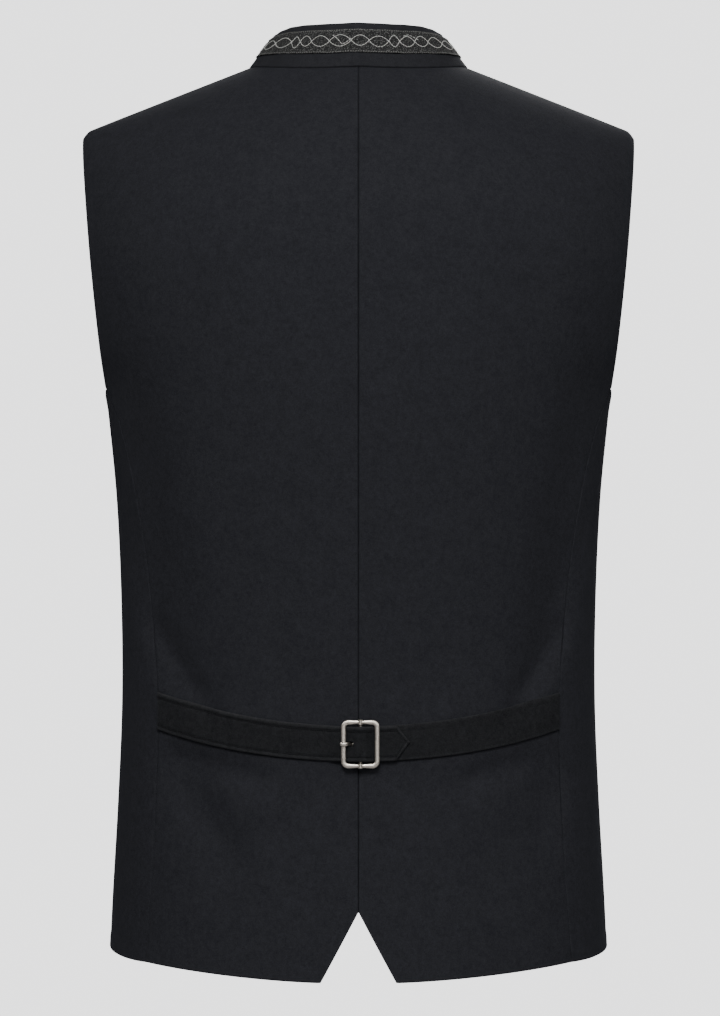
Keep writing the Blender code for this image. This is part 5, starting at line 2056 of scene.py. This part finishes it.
@dataclass(frozen=True)
class ClothFinish:
    """Near-black brushed cloth with a light nap."""

    name: str = "black_cloth_finish"
    dark: Colour = (0.0155, 0.0160, 0.0192)
    light: Colour = (0.0290, 0.0299, 0.0350)
    worn: Colour = (0.0300, 0.0310, 0.0350)
    roughness: float = 0.88
    sheen: float = 0.02
    sheen_roughness: float = 0.42
    relief: float = 0.35

    def build(self, group: bpy.types.NodeTree) -> bpy.types.Material:
        """Build the material.

        Args:
            group: Brushed cloth group.

        Returns:
            The material.
        """
        material, board, shader = open_material(self.name)
        grain = board.add("ShaderNodeGroup", node_tree=group)
        share = board.remap(grain.outputs["Mottle"], 0.36, 0.64, 0.0, 1.0)
        colour = board.tint(share, rgba(self.dark), rgba(self.light))
        weave = board.remap(grain.outputs["Weave"], 0.0, 1.0, 0.86, 1.06)
        colour = board.tint(1.0, colour, weave, "MULTIPLY")
        wear = board.add("ShaderNodeAttribute", attribute_name="wear").outputs["Fac"]
        rub = board.maths("MULTIPLY", wear, board.remap(grain.outputs["Mottle"], 0.40, 0.60, 0.35, 0.9))
        colour = board.tint(rub, colour, rgba(self.worn))
        bump = board.add(
            "ShaderNodeBump",
            {"Strength": self.relief, "Distance": 0.0003, "Height": grain.outputs["Relief"]},
        )
        rough = board.remap(grain.outputs["Mottle"], 0.3, 0.7, self.roughness - 0.05, self.roughness + 0.05)
        settings = {
            "Base Color": colour,
            "Normal": bump.outputs[0],
            "Roughness": rough,
            "Sheen Weight": self.sheen,
            "Sheen Roughness": self.sheen_roughness,
            "Sheen Tint": (0.80, 0.84, 1.0, 1.0),
            "Specular IOR Level": 0.05,
        }
        board.feed(shader, settings)
        material.diffuse_color = rgba(self.light)
        return material


@dataclass(frozen=True)
class RibbonFinish:
    """Melange ribbon: pale and dark yarns, with paler selvedges."""

    name: str = "melange_ribbon_finish"
    dark: Colour = (0.0070, 0.0072, 0.0076)
    middle: Colour = (0.026, 0.0264, 0.0262)
    pale: Colour = (0.300, 0.300, 0.292)
    roughness: float = 0.9

    def build(self) -> bpy.types.Material:
        """Build the material.

        Returns:
            The material.
        """
        material, board, shader = open_material(self.name)
        flat = board.add("ShaderNodeUVMap", uv_map="cloth").outputs[0]
        yarn = board.add("ShaderNodeMapping", {"Vector": flat, "Scale": (1500.0, 2600.0, 1.0)}).outputs[0]
        speck = board.noise(yarn, 1.0, 2.0, 0.65)
        coarse = board.add("ShaderNodeMapping", {"Vector": flat, "Scale": (1050.0, 1900.0, 1.0)}).outputs[0]
        fleck = board.noise(coarse, 1.0, 1.0)
        weave = board.add(
            "ShaderNodeTexWave", {"Vector": flat, "Scale": 340.0, "Distortion": 0.8}, bands_direction="Y"
        ).outputs["Fac"]
        yarns = board.remap(speck, 0.36, 0.60, 0.0, 1.0)
        colour = board.tint(yarns, rgba(self.dark), rgba(self.middle))
        colour = board.tint(board.remap(fleck, 0.58, 0.67, 0.0, 0.85), colour, rgba(self.pale))
        colour = board.tint(board.remap(weave, 0.0, 1.0, 0.0, 0.25), colour, rgba(self.dark))
        wear = board.add("ShaderNodeAttribute", attribute_name="wear").outputs["Fac"]
        edge = board.maths("MULTIPLY", wear, board.remap(fleck, 0.50, 0.60, 0.0, 0.42))
        colour = board.tint(edge, colour, rgba(self.pale))
        height = board.maths("ADD", weave, speck)
        bump = board.add("ShaderNodeBump", {"Strength": 0.7, "Distance": 0.0003, "Height": height})
        settings = {"Base Color": colour, "Normal": bump.outputs[0], "Roughness": self.roughness}
        board.feed(shader, settings | {"Sheen Weight": 0.03, "Specular IOR Level": 0.15})
        material.diffuse_color = rgba(self.middle)
        return material


@dataclass(frozen=True)
class ThreadFinish:
    """Twisted thread, with painted shade in the grooves of its twist."""

    name: str
    colour: Colour
    shade: Colour
    roughness: float = 0.6

    def build(self) -> bpy.types.Material:
        """Build the material.

        Returns:
            The material.
        """
        material, board, shader = open_material(self.name)
        place = board.add("ShaderNodeTexCoord").outputs["Object"]
        turned = board.add("ShaderNodeMapping", {"Vector": place, "Rotation": (0.4, 0.6, 0.8)}).outputs[0]
        twist = {"Vector": turned, "Scale": 1500.0, "Distortion": 2.0}
        ply = board.add("ShaderNodeTexWave", twist).outputs["Fac"]
        patch = board.noise(place, 320.0, 2.0)
        # Painted shade: the colour goes towards the shade colour in the grooves between the plies.
        share = board.maths("MULTIPLY", ply, board.remap(patch, 0.3, 0.7, 0.5, 1.0))
        colour = board.tint(share, rgba(self.colour), rgba(self.shade))
        bump = board.add("ShaderNodeBump", {"Strength": 0.5, "Distance": 0.0002, "Height": ply})
        settings = {"Base Color": colour, "Normal": bump.outputs[0], "Roughness": self.roughness}
        board.feed(shader, settings | {"Sheen Weight": 0.02, "Specular IOR Level": 0.1})
        material.diffuse_color = rgba(self.colour)
        return material


@dataclass(frozen=True)
class MetalFinish:
    """Satin nickel with faint scratches and duller patches."""

    name: str = "satin_nickel_finish"
    colour: Colour = (0.74, 0.68, 0.60)
    dull: Colour = (0.50, 0.45, 0.39)
    roughness: float = 0.32

    def build(self) -> bpy.types.Material:
        """Build the material.

        Returns:
            The material.
        """
        material, board, shader = open_material(self.name)
        place = board.add("ShaderNodeTexCoord").outputs["Object"]
        patch = board.noise(place, 240.0, 4.0, 0.6)
        grain = {"Vector": place, "Scale": (900.0, 900.0, 5200.0)}
        scratch = board.noise(board.add("ShaderNodeMapping", grain).outputs[0], 1.0, 3.0, 0.7)
        dulled = board.remap(patch, 0.50, 0.78, 0.0, 0.7)
        colour = board.tint(dulled, rgba(self.colour), rgba(self.dull))
        cloudy = board.remap(patch, 0.3, 0.7, self.roughness - 0.04, self.roughness + 0.10)
        rough = board.maths("ADD", cloudy, board.remap(scratch, 0.3, 0.7, -0.04, 0.08))
        bump = board.add("ShaderNodeBump", {"Strength": 0.12, "Distance": 0.0001, "Height": scratch})
        settings = {"Base Color": colour, "Roughness": rough, "Normal": bump.outputs[0]}
        board.feed(shader, settings | {"Metallic": 1.0})
        material.diffuse_color = rgba(self.colour)
        return material


@dataclass
class Studio:
    """Pale round backdrop, soft lights and the photograph's camera."""

    floor_height: float = -1.25
    flat_radius: float = 5.0
    bend_radius: float = 2.0
    wall_top: float = 5.5
    sides: int = 96
    camera_distance: float = 2.6
    camera_x: float = -0.00105
    camera_height: float = -0.3094
    lens: float = 131.6
    background: Colour = (0.738, 0.738, 0.745)
    glow: float = 3.2
    wall_colour: Colour = (0.33, 0.33, 0.34)

    def backdrop(self) -> bpy.types.Object:
        """Build the floor that curves up into a wall all round.

        Returns:
            The backdrop.
        """
        turn = np.linspace(0.0, np.pi / 2, 17)
        middle = [self.flat_radius * 0.5, self.flat_radius * 0.8]
        radius = np.concatenate([middle, self.flat_radius + self.bend_radius * np.sin(turn)])
        height = np.concatenate([[0.0, 0.0], self.bend_radius * (1 - np.cos(turn))]) + self.floor_height
        radius = np.append(radius, radius[-1])
        height = np.append(height, self.wall_top)
        around = 2 * np.pi * np.arange(self.sides) / self.sides
        points = [(0.0, 0.0, self.floor_height)]
        for r, z in zip(radius, height):
            points += [(r * math.cos(a), r * math.sin(a), z) for a in around]
        n = self.sides
        faces = [(0, 1 + i, 1 + (i + 1) % n) for i in range(n)]
        for ring in range(len(radius) - 1):
            base = 1 + ring * n
            for i in range(n):
                near = (i + 1) % n
                faces.append((base + i, base + n + i, base + n + near, base + near))
        mesh = bpy.data.meshes.new("backdrop")
        mesh.from_pydata(points, [], faces)
        mesh.shade_smooth()
        obj = link_mesh("backdrop", mesh)
        material, board, shader = open_material("pale_paper")
        place = board.add("ShaderNodeTexCoord").outputs["Object"]
        tone = board.remap(board.noise(place, 0.6, 1.0), 0.3, 0.7, 0.0, 1.0)
        low = tuple(0.97 * value for value in self.wall_colour)
        colour = board.tint(tone, rgba(low), rgba(self.wall_colour))
        board.feed(shader, {"Base Color": colour, "Roughness": 1.0, "Specular IOR Level": 0.0})
        lit = board.add("ShaderNodeEmission", {"Color": rgba(self.background), "Strength": self.glow})
        seen = board.add("ShaderNodeLightPath").outputs["Is Camera Ray"]
        mixed = board.add("ShaderNodeMixShader", {0: seen, 1: shader.outputs[0], 2: lit.outputs[0]})
        board.feed(material.node_tree.nodes["Material Output"], {"Surface": mixed.outputs[0]})
        mesh.materials.append(material)
        return obj

    def light(self, name: str, place: tuple, size: float, power: float) -> None:
        """Add a soft square light that faces the waistcoat.

        Args:
            name: Name of the light.
            place: Its place.
            size: Length of its sides.
            power: Its power in watts.
        """
        data = bpy.data.lights.new(name, "AREA")
        data.energy = power
        data.size = size
        obj = bpy.data.objects.new(name, data)
        obj.location = place
        aim = Vector((0.0, 0.0, -0.3)) - Vector(place)
        obj.rotation_euler = aim.to_track_quat("-Z", "Y").to_euler()
        bpy.context.scene.collection.objects.link(obj)

    def build(self) -> None:
        """Build the backdrop, the lights, the world and the camera."""
        self.backdrop()
        self.light("key", (0.15, 2.9, 1.60), 0.9, 72.0)
        self.light("fill", (-0.5, 3.3, 0.5), 1.2, 18.0)
        self.light("left side", (2.3, 1.7, 1.3), 1.2, 18.0)
        self.light("right side", (-2.3, 1.7, 1.3), 1.2, 20.0)
        self.light("front", (-0.5, -2.8, 1.4), 1.6, 78.0)
        world = bpy.data.worlds.new("studio")
        world.use_nodes = True
        ground = world.node_tree.nodes["Background"]
        ground.inputs["Color"].default_value = (1.0, 1.0, 1.0, 1.0)
        ground.inputs["Strength"].default_value = 0.15
        bpy.context.scene.world = world
        data = bpy.data.cameras.new("camera")
        data.lens = self.lens
        data.sensor_width = 36.0
        data.clip_end = 40.0
        camera = bpy.data.objects.new("camera", data)
        camera.location = (self.camera_x, self.camera_distance, self.camera_height)
        camera.rotation_euler = (math.pi / 2, 0.0, math.pi)
        bpy.context.scene.collection.objects.link(camera)
        bpy.context.scene.camera = camera


def declare_sheets(sheets: dict) -> None:
    """Take away the flat size that each cloth piece was given when it was built.

    Args:
        sheets: For each piece's name: the piece, how it is held and what it rests on.
    """
    for name, (piece, held, rests_on) in sheets.items():
        del piece["flat"]


class Finishes(NamedTuple):
    """Built finishes of the waistcoat."""

    black: bpy.types.Material
    strap: bpy.types.Material
    collar: bpy.types.Material
    ribbon: bpy.types.Material
    pale: bpy.types.Material
    grey: bpy.types.Material
    dark: bpy.types.Material
    nickel: bpy.types.Material


def build_finishes() -> Finishes:
    """Build every finish of the waistcoat.

    Returns:
        The materials.
    """
    group = brushed_cloth_group()
    black = ClothFinish()
    strap = ClothFinish(
        name="black_strap_finish",
        dark=(0.0085, 0.0090, 0.0098),
        light=(0.0225, 0.0232, 0.0252),
        worn=(0.0400, 0.0405, 0.0430),
    )
    # The collar's finish is a lighter copy of the black cloth: painted light on the upward-leaning collar.
    collar = ClothFinish(
        name="black_collar_painted_light_finish",
        dark=(0.0170, 0.0175, 0.0200),
        light=(0.0300, 0.0306, 0.0348),
        worn=(0.0240, 0.0246, 0.0285),
    )
    pale = ThreadFinish("pale_thread_finish", (0.80, 0.80, 0.77), (0.58, 0.58, 0.55))
    grey = ThreadFinish("grey_thread_finish", (0.34, 0.34, 0.32), (0.16, 0.16, 0.15))
    dark = ThreadFinish("black_thread_finish", (0.0085, 0.0088, 0.0105), (0.0050, 0.0052, 0.0062))
    return Finishes(
        black=black.build(group),
        strap=strap.build(group),
        collar=collar.build(group),
        ribbon=RibbonFinish().build(),
        pale=pale.build(),
        grey=grey.build(),
        dark=dark.build(),
        nickel=MetalFinish().build(),
    )


def main() -> None:
    """Build the waistcoat and its studio."""
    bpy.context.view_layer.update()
    log.info("frame loaded: %d nodes", len(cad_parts))
    finish = build_finishes()
    form = BodyForm()
    cloth = Cloth()
    sheets: dict = {}
    for side in Side:
        for panel in (BackPanel(form, cloth, side), FrontPanel(form, cloth, side)):
            piece = panel.build(finish.black)
            sheets[piece.name] = (piece, "hung", [])
    log.info("panels built")
    collar = Collar(form)
    band = collar.build(finish.collar)
    sheets[band.name] = (band, "stretched", [])
    ribbon = Ribbon(collar)
    strip = ribbon.build(finish.ribbon)
    sheets[strip.name] = (strip, "laid", [band.name])
    run = StitchRun("embroidery", length=0.0018, pitch=0.0022, radius=0.00021, rise=0.00018)
    run.build(ribbon.strands(0.00010), finish.pale, "ribbon")
    run = StitchRun("ribbon_edge_stitches", length=0.0008, pitch=0.00175, radius=0.00017, rise=0.0001)
    run.build(ribbon.edge_rows(0.00005), finish.grey, "ribbon")
    log.info("collar, ribbon and embroidery built")
    belt = Belt(form)
    for build, under in ((belt.build_left, "back_left_cloth"), (belt.build_right, "back_right_cloth")):
        piece = build(finish.strap)
        sheets[piece.name] = (piece, "laid", [under])
    run = StitchRun("belt_topstitching", length=0.0026, pitch=0.0030, radius=0.00020, rise=0.00010)
    run.build(belt.stitch_rows(-0.0002), finish.dark, "cloth")
    Buckle(belt).build(finish.nickel)
    buttons = Buttons(form)
    buttons.build(finish.nickel)
    run = StitchRun("buttonhole_stitches", length=0.0009, pitch=0.00045, radius=0.00025, rise=0.0001)
    run.build(buttons.hole_paths(0.0002), finish.dark, "cloth")
    log.info("belt, buckle and buttons built")
    declare_sheets(sheets)
    Studio().build()
    log.info("sizes written")


if __name__ == "__main__":
    main()
